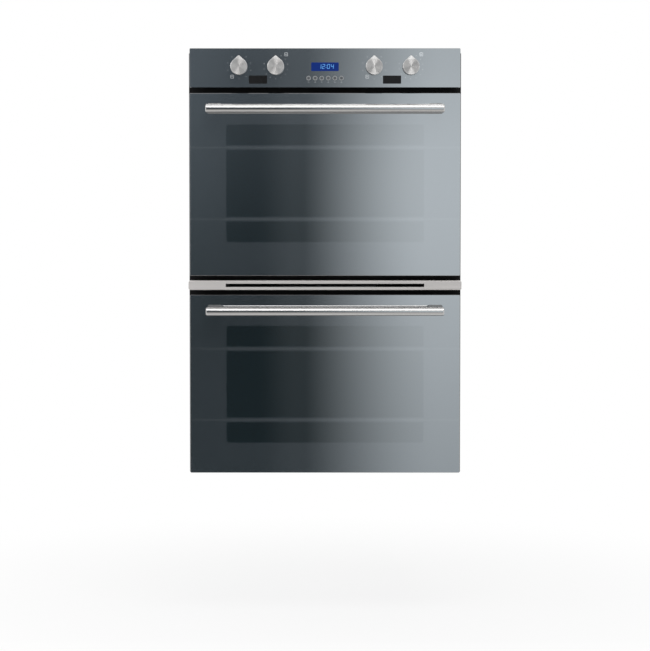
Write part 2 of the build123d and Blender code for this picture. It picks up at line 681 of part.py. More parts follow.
    # Baking tray: a straight-sided pan that hangs from the ladder's rails by its rim
    with BuildPart() as baking_tray:
        tray_rim = oven.level(TRAY_LEVEL) + WIRE_RADIUS + SEAT
        tray_width = rack_width - 2 * BAKE_RIM
        tray_length = rack_length - 2 * BAKE_RIM
        tray_top = (0, rack_middle, tray_rim + BAKE_SHEET)
        with BuildSketch(Plane(tray_top)):
            Rectangle(tray_width, tray_length)
        extrude(amount=-BAKE_DEPTH)
        with BuildSketch(Plane(tray_top)):
            Rectangle(rack_width, rack_length)
        extrude(amount=-BAKE_SHEET)
        with BuildSketch(Plane(tray_top)):
            Rectangle(tray_width - 2 * BAKE_SHEET, tray_length - 2 * BAKE_SHEET)
        extrude(amount=BAKE_SHEET - BAKE_DEPTH, mode=Mode.SUBTRACT)
    save(baking_tray.part, f"{oven.name}_baking_tray")

    # Fan cover: a drawn cover over the convection fan, with intake holes and side outlets
    with BuildPart() as fan_cover:
        with BuildSketch(facing(cavity_back, z=oven.door_middle)):
            bevelled(FAN_COVER_WIDTH, FAN_COVER_HEIGHT, FAN_COVER_CORNER)
        extrude(amount=FAN_COVER_DEPTH, taper=FAN_COVER_TAPER)
        with BuildSketch(facing(cavity_back, z=oven.door_middle)):
            growth = 2 * FAN_COVER_FLANGE
            bevelled(FAN_COVER_WIDTH + growth, FAN_COVER_HEIGHT + growth, FAN_COVER_CORNER)
        extrude(amount=FAN_COVER_SHEET)
        with BuildSketch(facing(cavity_back, z=oven.door_middle)):
            growth = -2 * FAN_COVER_SHEET
            bevelled(FAN_COVER_WIDTH + growth, FAN_COVER_HEIGHT + growth, FAN_COVER_CORNER - FAN_COVER_SHEET)
        extrude(
            amount=FAN_COVER_DEPTH - FAN_COVER_SHEET,
            taper=FAN_COVER_TAPER,
            mode=Mode.SUBTRACT,
        )
        with BuildSketch(facing(cavity_back + FAN_COVER_DEPTH, z=oven.door_middle)):
            RegularPolygon(INTAKE_HOLE, INTAKE_SIDES)
            for ring in range(1, INTAKE_RINGS):
                with PolarLocations(ring * INTAKE_PITCH, INTAKE_SIDES * ring):
                    RegularPolygon(INTAKE_HOLE, INTAKE_SIDES)
        extrude(amount=-FAN_COVER_DEPTH / 2, mode=Mode.SUBTRACT)
        with BuildSketch(side(0)):
            with Locations((front_y(cavity_back + FAN_COVER_DEPTH / 2), oven.door_middle)):
                with GridLocations(OUTLET_HEIGHT, OUTLET_PITCH, 1, 2):
                    Rectangle(OUTLET_HEIGHT, OUTLET_LENGTH)
        extrude(amount=FAN_COVER_WIDTH, both=True, mode=Mode.SUBTRACT)
    save(fan_cover.part, f"{oven.name}_fan_cover")

    # Convection impeller: a disc with curved blades, on the motor's shaft
    disc_back = cavity_back + FAN_GAP
    with BuildPart() as fan_impeller:
        with BuildSketch(facing(disc_back, z=oven.door_middle)):
            RegularPolygon(FAN_RADIUS, FAN_SIDES)
        extrude(amount=FAN_DISC)
        with BuildSketch(facing(disc_back, z=oven.door_middle)):
            RegularPolygon(FAN_HUB, WIRE_SIDES)
        extrude(amount=FAN_DISC + FAN_HUB)
        with BuildSketch(facing(disc_back, z=oven.door_middle)):
            with PolarLocations(FAN_RADIUS - FAN_BLADE_LENGTH / 2 - FAN_BLADE_SHEET, FAN_BLADES):
                Rectangle(FAN_BLADE_LENGTH, FAN_BLADE_SHEET, rotation=FAN_BLADE_ANGLE)
        extrude(amount=FAN_DISC + FAN_BLADE_DEPTH)
        with BuildSketch(facing(disc_back, z=oven.door_middle)):
            RegularPolygon(SHAFT_RADIUS, WIRE_SIDES)
        extrude(amount=-(FAN_GAP + CAVITY_WALL + SHAFT_GRIP))
    save(fan_impeller.part, f"{oven.name}_fan_impeller")

    # Ring element round the impeller, with its terminals through the back wall
    with BuildPart() as ring_element:
        ring_y = front_y(cavity_back + RING_STANDOFF)
        terminal_y = front_y(cavity_back - CAVITY_WALL - TERMINAL_LENGTH)
        open_angle = degrees(asin(RING_TERMINAL / RING_RADIUS))
        bend = (360 - 2 * open_angle) / RING_BENDS
        angles = [radians(open_angle - 90 + index * bend) for index in range(RING_BENDS + 1)]
        ring = [(RING_RADIUS * cos(t), ring_y, oven.door_middle + RING_RADIUS * sin(t)) for t in angles]
        with BuildLine() as ring_path:
            Polyline(
                (RING_TERMINAL, terminal_y, ring[0][2]),
                *ring,
                (-RING_TERMINAL, terminal_y, ring[-1][2]),
            )
        with BuildSketch(Plane(origin=ring_path.line @ 0, z_dir=(0, -1, 0))):
            RegularPolygon(ELEMENT_RADIUS, FINE_WIRE_SIDES)
        sweep(transition=Transition.RIGHT)
    save(ring_element.part, f"{oven.name}_ring_element")

    # Grill element under the ceiling: one bent loop with its terminals through the back wall
    with BuildPart() as grill_element:
        grill_end = front_y(cavity_back - CAVITY_WALL - TERMINAL_LENGTH)
        grill_run = [
            (GRILL_TERMINAL, grill_end),
            (GRILL_TERMINAL, front_y(cavity_back + GRILL_BACK)),
            (GRILL_HALF_WIDTH, front_y(cavity_back + GRILL_BACK)),
            (GRILL_HALF_WIDTH, front_y(-GRILL_FRONT)),
        ]
        with BuildLine() as grill_path:
            Polyline(*bent_loop(grill_run, grill_z))
        with BuildSketch(Plane(origin=grill_path.line @ 0, z_dir=(0, -1, 0))):
            RegularPolygon(ELEMENT_RADIUS, FINE_WIRE_SIDES)
        sweep(transition=Transition.RIGHT)
    save(grill_element.part, f"{oven.name}_grill_element")

# Control glass: the mirrored panel with the holes for the spindles and the buttons
knob_z = PANEL_MIDDLE + KNOB_RISE
button_z = PANEL_MIDDLE - BUTTON_DROP
readout_z = PANEL_MIDDLE - READOUT_DROP
clock_z = PANEL_MIDDLE - CLOCK_DROP
KNOBS = {
    "upper_mode_knob": -KNOB_OUTER_X,
    "upper_heat_knob": -KNOB_INNER_X,
    "lower_mode_knob": KNOB_INNER_X,
    "lower_heat_knob": KNOB_OUTER_X,
}
BUTTONS = (
    "manual_button",
    "timer_button",
    "duration_button",
    "end_time_button",
    "minus_button",
    "plus_button",
)
button_places = [
    ((index - (len(BUTTONS) - 1) / 2) * BUTTON_PITCH, button_z) for index in range(len(BUTTONS))
]
with BuildPart() as control_glass:
    with BuildSketch(facing(PANEL_BACK)):
        with Locations((0, PANEL_MIDDLE)):
            bevelled(FRONT_WIDTH, PANEL_HEIGHT, GLASS_CORNER)
        with Locations(*[(x, knob_z) for x in KNOBS.values()]):
            RegularPolygon(SPINDLE_HOLE, WIRE_SIDES, mode=Mode.SUBTRACT)
        with Locations(*button_places):
            RegularPolygon(BUTTON_RADIUS + BUTTON_CLEARANCE, BUTTON_SIDES, mode=Mode.SUBTRACT)
    extrude(amount=GLASS)
    glass_rim = control_glass.faces().sort_by(Axis.Y)[0].outer_wire().edges()
    chamfer(glass_rim, GLASS_BEVEL)
save(control_glass.part, "control_glass")

# Control tray: the steel box between the frame and the control glass
with BuildPart() as control_tray:
    tray_width = FRONT_WIDTH - 2 * TRAY_INSET
    tray_height = PANEL_HEIGHT - 2 * TRAY_INSET
    with BuildSketch(facing(FRAME_SHEET, z=PANEL_MIDDLE)):
        Rectangle(tray_width, tray_height)
    extrude(amount=PANEL_BACK - FRAME_SHEET)
    offset(amount=-TRAY_SHEET, openings=control_tray.faces().sort_by(Axis.Y)[0])
save(control_tray.part, "control_tray")

# Rotary switches and thermostats on the tray's floor
tray_floor = FRAME_SHEET + TRAY_SHEET
switch_front = tray_floor + SWITCH_DEPTH + SWITCH_NECK_LENGTH
with BuildPart() as switch_blocks:
    switch_places = [(x, knob_z) for x in KNOBS.values()]
    with BuildSketch(facing(tray_floor)):
        with Locations(*switch_places):
            Rectangle(SWITCH_SIDE, SWITCH_SIDE)
    extrude(amount=SWITCH_DEPTH)
    with BuildSketch(facing(tray_floor)):
        with Locations(*switch_places):
            Rectangle(2 * SWITCH_NECK, 2 * SWITCH_NECK)
    extrude(amount=switch_front - tray_floor)
    with BuildSketch(facing(switch_front)):
        with Locations(*switch_places):
            RegularPolygon(SPINDLE_RADIUS + RUNNING_CLEARANCE, WIRE_SIDES, major_radius=False)
    extrude(amount=-(SPINDLE_GRIP + RUNNING_CLEARANCE), mode=Mode.SUBTRACT)
save(switch_blocks.part, "switch_blocks")

# Knobs: drawn-out round grips whose pointed tip is the pointer, each on its spindle
tangent = acos(KNOB_RADIUS / KNOB_TIP)
shoulder_x = KNOB_RADIUS * sin(tangent)
shoulder_z = KNOB_RADIUS * cos(tangent)
for name, x in KNOBS.items():
    with BuildPart() as knob:
        with BuildSketch(facing(PANEL_FACE + KNOB_CLEARANCE, x=x, z=knob_z)) as grip:
            Circle(KNOB_RADIUS)
            with BuildLine():
                Polyline((0, KNOB_TIP), (-shoulder_x, shoulder_z), (shoulder_x, shoulder_z), close=True)
            make_face()
            fillet(grip.vertices().sort_by(Axis.Y)[-1], KNOB_TIP_ROUND)
        extrude(amount=KNOB_DEPTH)
        chamfer(knob.faces().sort_by(Axis.Y)[0].edges(), KNOB_BEVEL)
        with BuildSketch(facing(PANEL_FACE + KNOB_CLEARANCE, x=x, z=knob_z)):
            RegularPolygon(SPINDLE_RADIUS, WIRE_SIDES)
        extrude(amount=switch_front - SPINDLE_GRIP - PANEL_FACE - KNOB_CLEARANCE)
    save(knob.part, name)

# Push buttons: caps in the glass, kept in by an ear on each side behind it
for name, (x, z) in zip(BUTTONS, button_places):
    with BuildPart() as button:
        flange_back = PANEL_BACK - BUTTON_SEAT - BUTTON_FLANGE_SHEET
        with BuildSketch(facing(flange_back, x=x, z=z)):
            Rectangle(2 * BUTTON_FLANGE, BUTTON_FLANGE)
        extrude(amount=BUTTON_FLANGE_SHEET)
        with BuildSketch(facing(flange_back, x=x, z=z)):
            RegularPolygon(BUTTON_RADIUS, BUTTON_SIDES)
        extrude(amount=PANEL_FACE + BUTTON_PROUD - flange_back)
    save(button.part, name)

# Display modules behind the glass: the clock with its button pockets, and two readouts
with BuildPart() as display_modules:
    with BuildSketch(facing(PANEL_BACK, z=clock_z)):
        Rectangle(CLOCK_WIDTH, CLOCK_HEIGHT)
    extrude(amount=-CLOCK_DEPTH)
    with BuildSketch(facing(PANEL_BACK)):
        with Locations(*button_places):
            Rectangle(2 * (BUTTON_FLANGE + BUTTON_SEAT), 2 * (BUTTON_FLANGE + BUTTON_SEAT))
    extrude(amount=-BUTTON_POCKET, mode=Mode.SUBTRACT)
    with BuildSketch(facing(PANEL_BACK)):
        with Locations((-READOUT_X, readout_z), (READOUT_X, readout_z)):
            Rectangle(READOUT_WIDTH, READOUT_HEIGHT)
    extrude(amount=-READOUT_DEPTH)
save(display_modules.part, "display_modules")

# Insulation blankets over the top and sides of both cavities
with BuildPart() as insulation:
    for oven in OVENS:
        with BuildSketch(facing(-CAVITY_WALL - SEAT)):
            inner = CAVITY_WALL + SEAT
            outer = inner + INSULATION
            with Locations((0, oven.floor)):
                Rectangle(
                    CAVITY_WIDTH + 2 * outer,
                    oven.cavity_height + outer,
                    align=(Align.CENTER, Align.MIN),
                )
            with Locations((0, oven.door_middle)):
                Rectangle(
                    CAVITY_WIDTH + 2 * inner,
                    oven.cavity_height + 2 * inner,
                    mode=Mode.SUBTRACT,
                )
        extrude(amount=CAVITY_WALL + SEAT - CAVITY_DEPTH)
save(insulation.part, "insulation")

# Base elements: flat loops just under the cavity floors
with BuildPart() as base_elements:
    for oven in OVENS:
        loop_z = oven.floor - CAVITY_WALL - SEAT - ELEMENT_RADIUS
        loop_back = front_y(BASE_BACK - CAVITY_DEPTH)
        base_run = [
            (BASE_GAP, loop_back),
            (BASE_HALF_WIDTH, loop_back),
            (BASE_HALF_WIDTH, front_y(-BASE_FRONT)),
        ]
        with BuildLine() as base_path:
            Polyline(*bent_loop(base_run, loop_z))
        with BuildSketch(Plane(origin=base_path.line @ 0, z_dir=(1, 0, 0))):
            RegularPolygon(ELEMENT_RADIUS, FINE_WIRE_SIDES)
        sweep(path=base_path.line, transition=Transition.RIGHT)
save(base_elements.part, "base_elements")

# Oven lamps in the back walls: a raised lens on a slim body
with BuildPart() as oven_lamps:
    for oven in OVENS:
        lamp_z = oven.ceiling - LAMP_DROP
        with BuildSketch(facing(-CAVITY_DEPTH, x=LAMP_X, z=lamp_z)):
            RegularPolygon(LAMP_LENS, LAMP_SIDES)
        extrude(amount=LAMP_LENS_RISE)
        with BuildSketch(facing(-CAVITY_DEPTH, x=LAMP_X, z=lamp_z)):
            RegularPolygon(LAMP_BODY, WIRE_SIDES)
        extrude(amount=-LAMP_BODY_LENGTH)
save(oven_lamps.part, "oven_lamps")

# Convection fan motors on the outside of the back walls
with BuildPart() as fan_motors:
    motor_mount = -CAVITY_DEPTH - CAVITY_WALL
    for oven in OVENS:
        with BuildSketch(facing(motor_mount, z=oven.door_middle)):
            Rectangle(MOTOR_PLATE, MOTOR_PLATE)
        extrude(amount=-MOTOR_PLATE_SHEET)
        with BuildSketch(facing(motor_mount, z=oven.door_middle)):
            RegularPolygon(MOTOR_RADIUS, MOTOR_SIDES)
        extrude(amount=-MOTOR_LENGTH)
        with BuildSketch(facing(motor_mount, z=oven.door_middle)):
            RegularPolygon(SHAFT_RADIUS + RUNNING_CLEARANCE, WIRE_SIDES, major_radius=False)
        extrude(amount=-(SHAFT_GRIP + RUNNING_CLEARANCE), mode=Mode.SUBTRACT)
save(fan_motors.part, "fan_motors")

# Cooling blower housing: a rounded tunnel that narrows to the outlet behind the vent trim,
# open along its upper back, with end plates that stand on the deck and carry the axle
blower_y = front_y(-BLOWER_DEPTH)
end_plate_x = BLOWER_LENGTH / 2
with BuildPart() as blower_housing:
    for skin, mode in ((BLOWER_SHEET, Mode.ADD), (0, Mode.SUBTRACT)):
        with BuildSketch(side(0)):
            with BuildLine():
                half_outlet = DUCT_HEIGHT / 2 + skin
                radius = BLOWER_RADIUS - BLOWER_SHEET + skin
                Polyline(
                    (blower_y, BLOWER_Z + radius),
                    (front_y(0), TRIM_MIDDLE + half_outlet),
                    (front_y(0), TRIM_MIDDLE - half_outlet),
                    (blower_y, BLOWER_Z - radius),
                )
                ThreePointArc(
                    (blower_y, BLOWER_Z - radius),
                    (blower_y + radius, BLOWER_Z),
                    (blower_y, BLOWER_Z + radius),
                )
            make_face()
        extrude(amount=end_plate_x, both=True, mode=mode)
    with BuildSketch(side(0)):
        with Locations((blower_y, BLOWER_Z)):
            Rectangle(BLOWER_RADIUS, BLOWER_RADIUS, align=(Align.MIN, Align.MIN))
    extrude(amount=end_plate_x, both=True, mode=Mode.SUBTRACT)
    for x in (-end_plate_x - BLOWER_SHEET, end_plate_x):
        with BuildSketch(side(x)):
            with Locations((blower_y, DECK_TOP)):
                Rectangle(
                    2 * BLOWER_RADIUS,
                    2 * BLOWER_RADIUS + BLOWER_END_MARGIN,
                    align=(Align.CENTER, Align.MIN),
                )
            with Locations((blower_y, BLOWER_Z)):
                RegularPolygon(
                    AXLE_RADIUS + RUNNING_CLEARANCE,
                    WIRE_SIDES,
                    major_radius=False,
                    mode=Mode.SUBTRACT,
                )
        extrude(amount=BLOWER_SHEET)
save(blower_housing.part, "blower_housing")

# Blower wheel: a long cage of curved blades between end discs, on its axle
with BuildPart() as blower_wheel:
    wheel_half = end_plate_x - WHEEL_END_GAP
    for x in (-wheel_half, wheel_half - WHEEL_DISC):
        with BuildSketch(side(x)):
            with Locations((blower_y, BLOWER_Z)):
                RegularPolygon(WHEEL_RADIUS, WHEEL_SIDES)
        extrude(amount=WHEEL_DISC)
    with BuildSketch(Plane(origin=(-wheel_half, blower_y, BLOWER_Z), x_dir=(0, 1, 0), z_dir=(1, 0, 0))):
        with PolarLocations(WHEEL_RADIUS - WHEEL_BLADE_LENGTH / 2 - WHEEL_BLADE_SHEET, WHEEL_BLADES):
            Rectangle(WHEEL_BLADE_LENGTH, WHEEL_BLADE_SHEET, rotation=WHEEL_BLADE_ANGLE)
    extrude(amount=2 * wheel_half)
    with BuildSketch(side(-end_plate_x - 2 * BLOWER_SHEET)):
        with Locations((blower_y, BLOWER_Z)):
            RegularPolygon(AXLE_RADIUS, WIRE_SIDES)
    extrude(amount=2 * end_plate_x + 3 * BLOWER_SHEET + AXLE_GRIP)
save(blower_wheel.part, "blower_wheel")

# Blower motor on the right end plate
with BuildPart() as blower_motor:
    with BuildSketch(side(end_plate_x + BLOWER_SHEET)):
        with Locations((blower_y, BLOWER_Z)):
            RegularPolygon(BLOWER_MOTOR_RADIUS, MOTOR_SIDES)
    extrude(amount=BLOWER_MOTOR_LENGTH)
    with BuildSketch(side(end_plate_x + BLOWER_SHEET)):
        with Locations((blower_y, BLOWER_Z)):
            RegularPolygon(AXLE_RADIUS + RUNNING_CLEARANCE, WIRE_SIDES, major_radius=False)
    extrude(amount=AXLE_GRIP + RUNNING_CLEARANCE, mode=Mode.SUBTRACT)
save(blower_motor.part, "blower_motor")

# Supply terminal box on the back panel, with a blind cable gland below it
with BuildPart() as terminal_box:
    box_z = CASE_TOP - TERMINAL_DROP
    with BuildSketch(facing(-CASE_DEPTH, x=TERMINAL_X, z=box_z)):
        Rectangle(TERMINAL_WIDTH, TERMINAL_HEIGHT)
    extrude(amount=-TERMINAL_BOX_DEPTH)
    chamfer(terminal_box.faces().sort_by(Axis.Y)[-1].edges(), TERMINAL_BEVEL)
    gland_mouth = box_z - TERMINAL_HEIGHT / 2 - GLAND_LENGTH
    gland_centre = (TERMINAL_X, CASE_BACK + TERMINAL_BOX_DEPTH / 2)
    with BuildSketch(Plane.XY.offset(gland_mouth)):
        with Locations(gland_centre):
            RegularPolygon(GLAND_RADIUS, WIRE_SIDES)
    extrude(amount=GLAND_LENGTH)
    with BuildSketch(Plane.XY.offset(gland_mouth)):
        with Locations(gland_centre):
            Circle(GLAND_BORE)
    extrude(amount=GLAND_BORE_DEPTH, mode=Mode.SUBTRACT)
save(terminal_box.part, "terminal_box")
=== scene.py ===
import math

import bmesh
import bpy
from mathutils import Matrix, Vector


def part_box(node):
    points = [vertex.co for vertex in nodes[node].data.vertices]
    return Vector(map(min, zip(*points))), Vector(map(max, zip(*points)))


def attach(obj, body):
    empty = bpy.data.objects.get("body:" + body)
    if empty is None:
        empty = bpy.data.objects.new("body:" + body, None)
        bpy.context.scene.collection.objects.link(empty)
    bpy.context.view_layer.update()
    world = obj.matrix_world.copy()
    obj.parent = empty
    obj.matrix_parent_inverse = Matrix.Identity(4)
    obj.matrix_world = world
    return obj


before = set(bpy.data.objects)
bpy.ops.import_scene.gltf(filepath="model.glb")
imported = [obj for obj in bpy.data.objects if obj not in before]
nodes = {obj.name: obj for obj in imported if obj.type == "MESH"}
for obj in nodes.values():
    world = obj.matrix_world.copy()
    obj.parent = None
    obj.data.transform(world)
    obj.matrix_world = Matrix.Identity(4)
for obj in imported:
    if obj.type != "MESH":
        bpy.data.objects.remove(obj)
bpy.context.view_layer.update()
scene = bpy.context.scene
scene.view_settings.view_transform = "Standard"

OVENS = ("upper", "lower")
KNOBS = ("upper_mode_knob", "upper_heat_knob", "lower_mode_knob", "lower_heat_knob")
KEYS = ("manual", "timer", "duration", "end_time", "minus", "plus")
X, Y, Z = range(3)

# Sizes on the front, in metres
KNOB_RADIUS = 0.0235
# The knob's paler rim is a painted highlight, and its darker side wall is painted shade
KNOB_RIM_HIGHLIGHT_START = KNOB_RADIUS - 0.0035
KNOB_RIM_HIGHLIGHT_FULL = KNOB_RADIUS - 0.001
KNOB_WALL_SHADE_START = 0.0012
KNOB_WALL_SHADE_FULL = 0.0035
KEY_RING_START = 0.0038
KEY_RING_FULL = 0.0046
WINDOW_HALF_WIDTH = 0.2775
WINDOW_HALF_HEIGHT = 0.165
WINDOW_RISE = {"upper": 0.0035, "lower": -0.001}
WINDOW_CORNER = 0.007
WINDOW_SOFT = 0.0022
WINDOW_BAR_INSET = 0.0645
WINDOW_BAR_HALF = 0.0065
LINE_HALF = 0.0026
LINE_SOFT = 0.0012
CLOCK_RISE = 0.0031
CLOCK_HALF = (0.0385, 0.012)
READOUT_X = 0.188
READOUT_DROP = 0.0328
READOUT_HALF = (0.0255, 0.0114)
PRINT_LIFT = 0.0002
LENS_LIFT = 0.0003
LENS_CORNER = 0.0015


def middle(node):
    """The centre of a node's box."""
    low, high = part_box(node)
    return Vector([(a + b) / 2 for a, b in zip(low, high)])


# Shader graph helpers


def new_material(name):
    mat = bpy.data.materials.new(name)
    mat.use_nodes = True
    return mat, mat.node_tree, mat.node_tree.nodes["Principled BSDF"]


def feed(nt, socket, value):
    """Links a socket to another one, or sets its own value."""
    if isinstance(value, bpy.types.NodeSocket):
        nt.links.new(value, socket)
    else:
        socket.default_value = value


def calc(nt, operation, a, b=0.0):
    node = nt.nodes.new("ShaderNodeMath")
    node.operation = operation
    feed(nt, node.inputs[0], a)
    feed(nt, node.inputs[1], b)
    return node.outputs[0]


def vector(nt, operation, a, b=(0, 0, 0)):
    node = nt.nodes.new("ShaderNodeVectorMath")
    node.operation = operation
    feed(nt, node.inputs[0], a)
    feed(nt, node.inputs[1], b)
    return node.outputs["Value" if operation == "LENGTH" else "Vector"]


def ramp(nt, value, low, high, out_low=0.0, out_high=1.0):
    """Carries a value from one range to another with soft ends."""
    node = nt.nodes.new("ShaderNodeMapRange")
    node.interpolation_type = "SMOOTHSTEP"
    feed(nt, node.inputs["Value"], value)
    for socket, number in zip(node.inputs[1:5], (low, high, out_low, out_high)):
        socket.default_value = number
    return node.outputs["Result"]


def mix(nt, factor, a, b):
    node = nt.nodes.new("ShaderNodeMix")
    node.data_type = "RGBA"
    feed(nt, node.inputs["Factor"], factor)
    for socket, colour in zip(node.inputs[6:8], (a, b)):
        feed(nt, socket, colour if isinstance(colour, bpy.types.NodeSocket) else (*colour, 1.0))
    return node.outputs[2]


def place(nt):
    return nt.nodes.new("ShaderNodeTexCoord").outputs["Object"]


def split(nt, value):
    node = nt.nodes.new("ShaderNodeSeparateXYZ")
    nt.links.new(value, node.inputs[0])
    return node.outputs


def noise(nt, position, scale, detail=3.0, stretch=(1, 1, 1)):
    node = nt.nodes.new("ShaderNodeTexNoise")
    nt.links.new(vector(nt, "MULTIPLY", position, stretch), node.inputs["Vector"])
    node.inputs["Scale"].default_value = scale
    node.inputs["Detail"].default_value = detail
    return node.outputs["Fac"]


def cells(nt, position, scale):
    node = nt.nodes.new("ShaderNodeTexVoronoi")
    nt.links.new(position, node.inputs["Vector"])
    node.inputs["Scale"].default_value = scale
    return node.outputs["Distance"], split(nt, node.outputs["Color"])[0]


def bump(nt, shader, height, strength, distance):
    node = nt.nodes.new("ShaderNodeBump")
    node.inputs["Strength"].default_value = strength
    node.inputs["Distance"].default_value = distance
    nt.links.new(height, node.inputs["Height"])
    nt.links.new(node.outputs[0], shader.inputs["Normal"])


def within(nt, value, centre, half, soft):
    """1 where a value is nearer to the centre than half, 0 elsewhere."""
    away = calc(nt, "ABSOLUTE", calc(nt, "SUBTRACT", value, centre))
    return ramp(nt, away, half - soft, half + soft, 1.0, 0.0)


def shade(colour, factor):
    return tuple(min(1.0, c * factor) for c in colour)


def surface(nt, shader, colour, rough):
    """Gives a shader its colour and roughness."""
    nt.links.new(colour, shader.inputs["Base Color"])
    nt.links.new(rough, shader.inputs["Roughness"])


# Materials
MIRROR_IOR = 4.7
PANE_IOR = 1.5
BRUSH_STRETCH = 110.0
FRAME_TINTS = (0.037, 0.044, 0.051), (0.042, 0.05, 0.058)
WINDOW_TINTS = (0.002, 0.0052, 0.0072), (0.004, 0.0086, 0.0112)
LINE_TINT = (0.062, 0.0715, 0.079)


def mirror_glass(name, window_z=None):
    """Half-mirrored smoked glass. A door's has a dark window and two bars over it, each with a fine line."""
    mat, nt, shader = new_material(name)
    position = place(nt)
    smear = noise(nt, position, 6.0, detail=4.0)
    colour = mix(nt, smear, *FRAME_TINTS)
    if window_z is not None:
        # The distance past a smaller rectangle rounds the window's corners. Depth plays no part in it.
        reach = (WINDOW_HALF_WIDTH - WINDOW_CORNER, 1.0, WINDOW_HALF_HEIGHT - WINDOW_CORNER)
        off_middle = vector(nt, "ABSOLUTE", vector(nt, "SUBTRACT", position, (0, 0, window_z)))
        past = vector(nt, "MAXIMUM", vector(nt, "SUBTRACT", off_middle, reach), (0, 0, 0))
        field = within(nt, vector(nt, "LENGTH", past), 0.0, WINDOW_CORNER, WINDOW_SOFT)
        height = split(nt, off_middle)[2]
        bar_height = WINDOW_HALF_HEIGHT - WINDOW_BAR_INSET
        bars = within(nt, height, bar_height, WINDOW_BAR_HALF, WINDOW_SOFT)
        field = calc(nt, "MULTIPLY", field, calc(nt, "SUBTRACT", 1.0, bars))
        colour = mix(nt, field, colour, mix(nt, smear, *WINDOW_TINTS))
        colour = mix(nt, within(nt, height, bar_height, LINE_HALF, LINE_SOFT), colour, LINE_TINT)
    smudge = noise(nt, position, 3.0, detail=5.0)
    surface(nt, shader, colour, ramp(nt, smudge, 0.3, 0.75, 0.01, 0.03))
    shader.inputs["IOR"].default_value = MIRROR_IOR
    return mat


def brushed_metal(name, colour, along, rough, depth=0.1):
    """Metal with fine brush lines along one axis."""
    mat, nt, shader = new_material(name)
    position = place(nt)
    stretch = [1.0 if axis == along else BRUSH_STRETCH for axis in (X, Y, Z)]
    lines = noise(nt, position, 6.0, detail=5.0, stretch=stretch)
    broad = noise(nt, position, 1.5, detail=2.0, stretch=stretch)
    tone = calc(nt, "ADD", calc(nt, "MULTIPLY", lines, 0.6), calc(nt, "MULTIPLY", broad, 0.4))
    tint = mix(nt, tone, shade(colour, 0.84), shade(colour, 1.14))
    surface(nt, shader, tint, ramp(nt, lines, 0.25, 0.75, rough - 0.05, rough + 0.07))
    shader.inputs["Metallic"].default_value = 1.0
    bump(nt, shader, lines, strength=depth, distance=0.0002)
    return mat


def spun_steel(name, centre):
    """Turned steel: brush rings round the knob's axis, which spread its gloss outward, a paler rim that is a
    painted highlight, and a side wall darkened with painted shade.
    """
    mat, nt, shader = new_material(name)
    offset = vector(nt, "SUBTRACT", place(nt), centre)
    flat = vector(nt, "MULTIPLY", offset, (1, 0, 1))
    radius = vector(nt, "LENGTH", flat)
    nt.links.new(vector(nt, "NORMALIZE", flat), shader.inputs["Tangent"])
    rings = nt.nodes.new("ShaderNodeTexNoise")
    rings.noise_dimensions = "1D"
    rings.inputs["Scale"].default_value = 2400.0
    nt.links.new(radius, rings.inputs["W"])
    groove = rings.outputs["Fac"]
    colour = mix(nt, groove, (0.5, 0.49, 0.48), (0.68, 0.665, 0.652))
    # Paler rim: a painted highlight on the knob's chamfer
    rim = ramp(nt, radius, KNOB_RIM_HIGHLIGHT_START, KNOB_RIM_HIGHLIGHT_FULL)
    colour = mix(nt, rim, colour, (0.7, 0.69, 0.68))
    # Darker side wall behind the knob's face: painted shade
    shaded_wall = ramp(nt, split(nt, offset)[1], KNOB_WALL_SHADE_START, KNOB_WALL_SHADE_FULL)
    colour = mix(nt, shaded_wall, colour, (0.5, 0.5, 0.505))
    surface(nt, shader, colour, ramp(nt, groove, 0.3, 0.7, 0.36, 0.48))
    shader.inputs["Metallic"].default_value = 1.0
    shader.inputs["Anisotropic"].default_value = 0.95
    return mat


def ring_key(name, centre):
    """A push button with a bright metal ring round a dark centre."""
    mat, nt, shader = new_material(name)
    position = place(nt)
    flat = vector(nt, "MULTIPLY", vector(nt, "SUBTRACT", position, centre), (1, 0, 1))
    rim = ramp(nt, vector(nt, "LENGTH", flat), KEY_RING_START, KEY_RING_FULL)
    grain = noise(nt, position, 1800.0)
    metal = mix(nt, grain, (0.25, 0.26, 0.265), (0.34, 0.345, 0.35))
    colour = mix(nt, rim, (0.1, 0.107, 0.115), metal)
    surface(nt, shader, colour, ramp(nt, grain, 0.3, 0.7, 0.3, 0.44))
    shader.inputs["Metallic"].default_value = 0.2
    return mat


def coated(name, colour, rough, grain=900.0, metallic=0.0, spread=0.25, depth=0.15, gloss=0.5):
    """A painted or moulded surface with fine grain and slight changes of tone."""
    mat, nt, shader = new_material(name)
    position = place(nt)
    broad = noise(nt, position, 9.0)
    fine = noise(nt, position, grain, detail=2.0)
    tone = calc(nt, "MULTIPLY", calc(nt, "ADD", broad, fine), 0.5)
    tint = mix(nt, tone, shade(colour, 1 - spread), shade(colour, 1 + spread))
    surface(nt, shader, tint, ramp(nt, broad, 0.3, 0.7, rough - 0.06, rough + 0.06))
    shader.inputs["Metallic"].default_value = metallic
    shader.inputs["Specular IOR Level"].default_value = gloss
    bump(nt, shader, fine, strength=depth, distance=0.0003)
    return mat


def zinc_sheet(name):
    """Zinc-coated sheet with its faint crystal spangle and long rolling streaks."""
    mat, nt, shader = new_material(name)
    position = place(nt)
    _, crystal = cells(nt, position, 85.0)
    streak = noise(nt, position, 3.0, stretch=(6, 6, 0.6))
    tone = calc(nt, "ADD", calc(nt, "MULTIPLY", crystal, 0.55), calc(nt, "MULTIPLY", streak, 0.45))
    tint = mix(nt, tone, (0.48, 0.49, 0.5), (0.6, 0.61, 0.62))
    surface(nt, shader, tint, ramp(nt, tone, 0.2, 0.8, 0.38, 0.5))
    shader.inputs["Metallic"].default_value = 0.85
    return mat


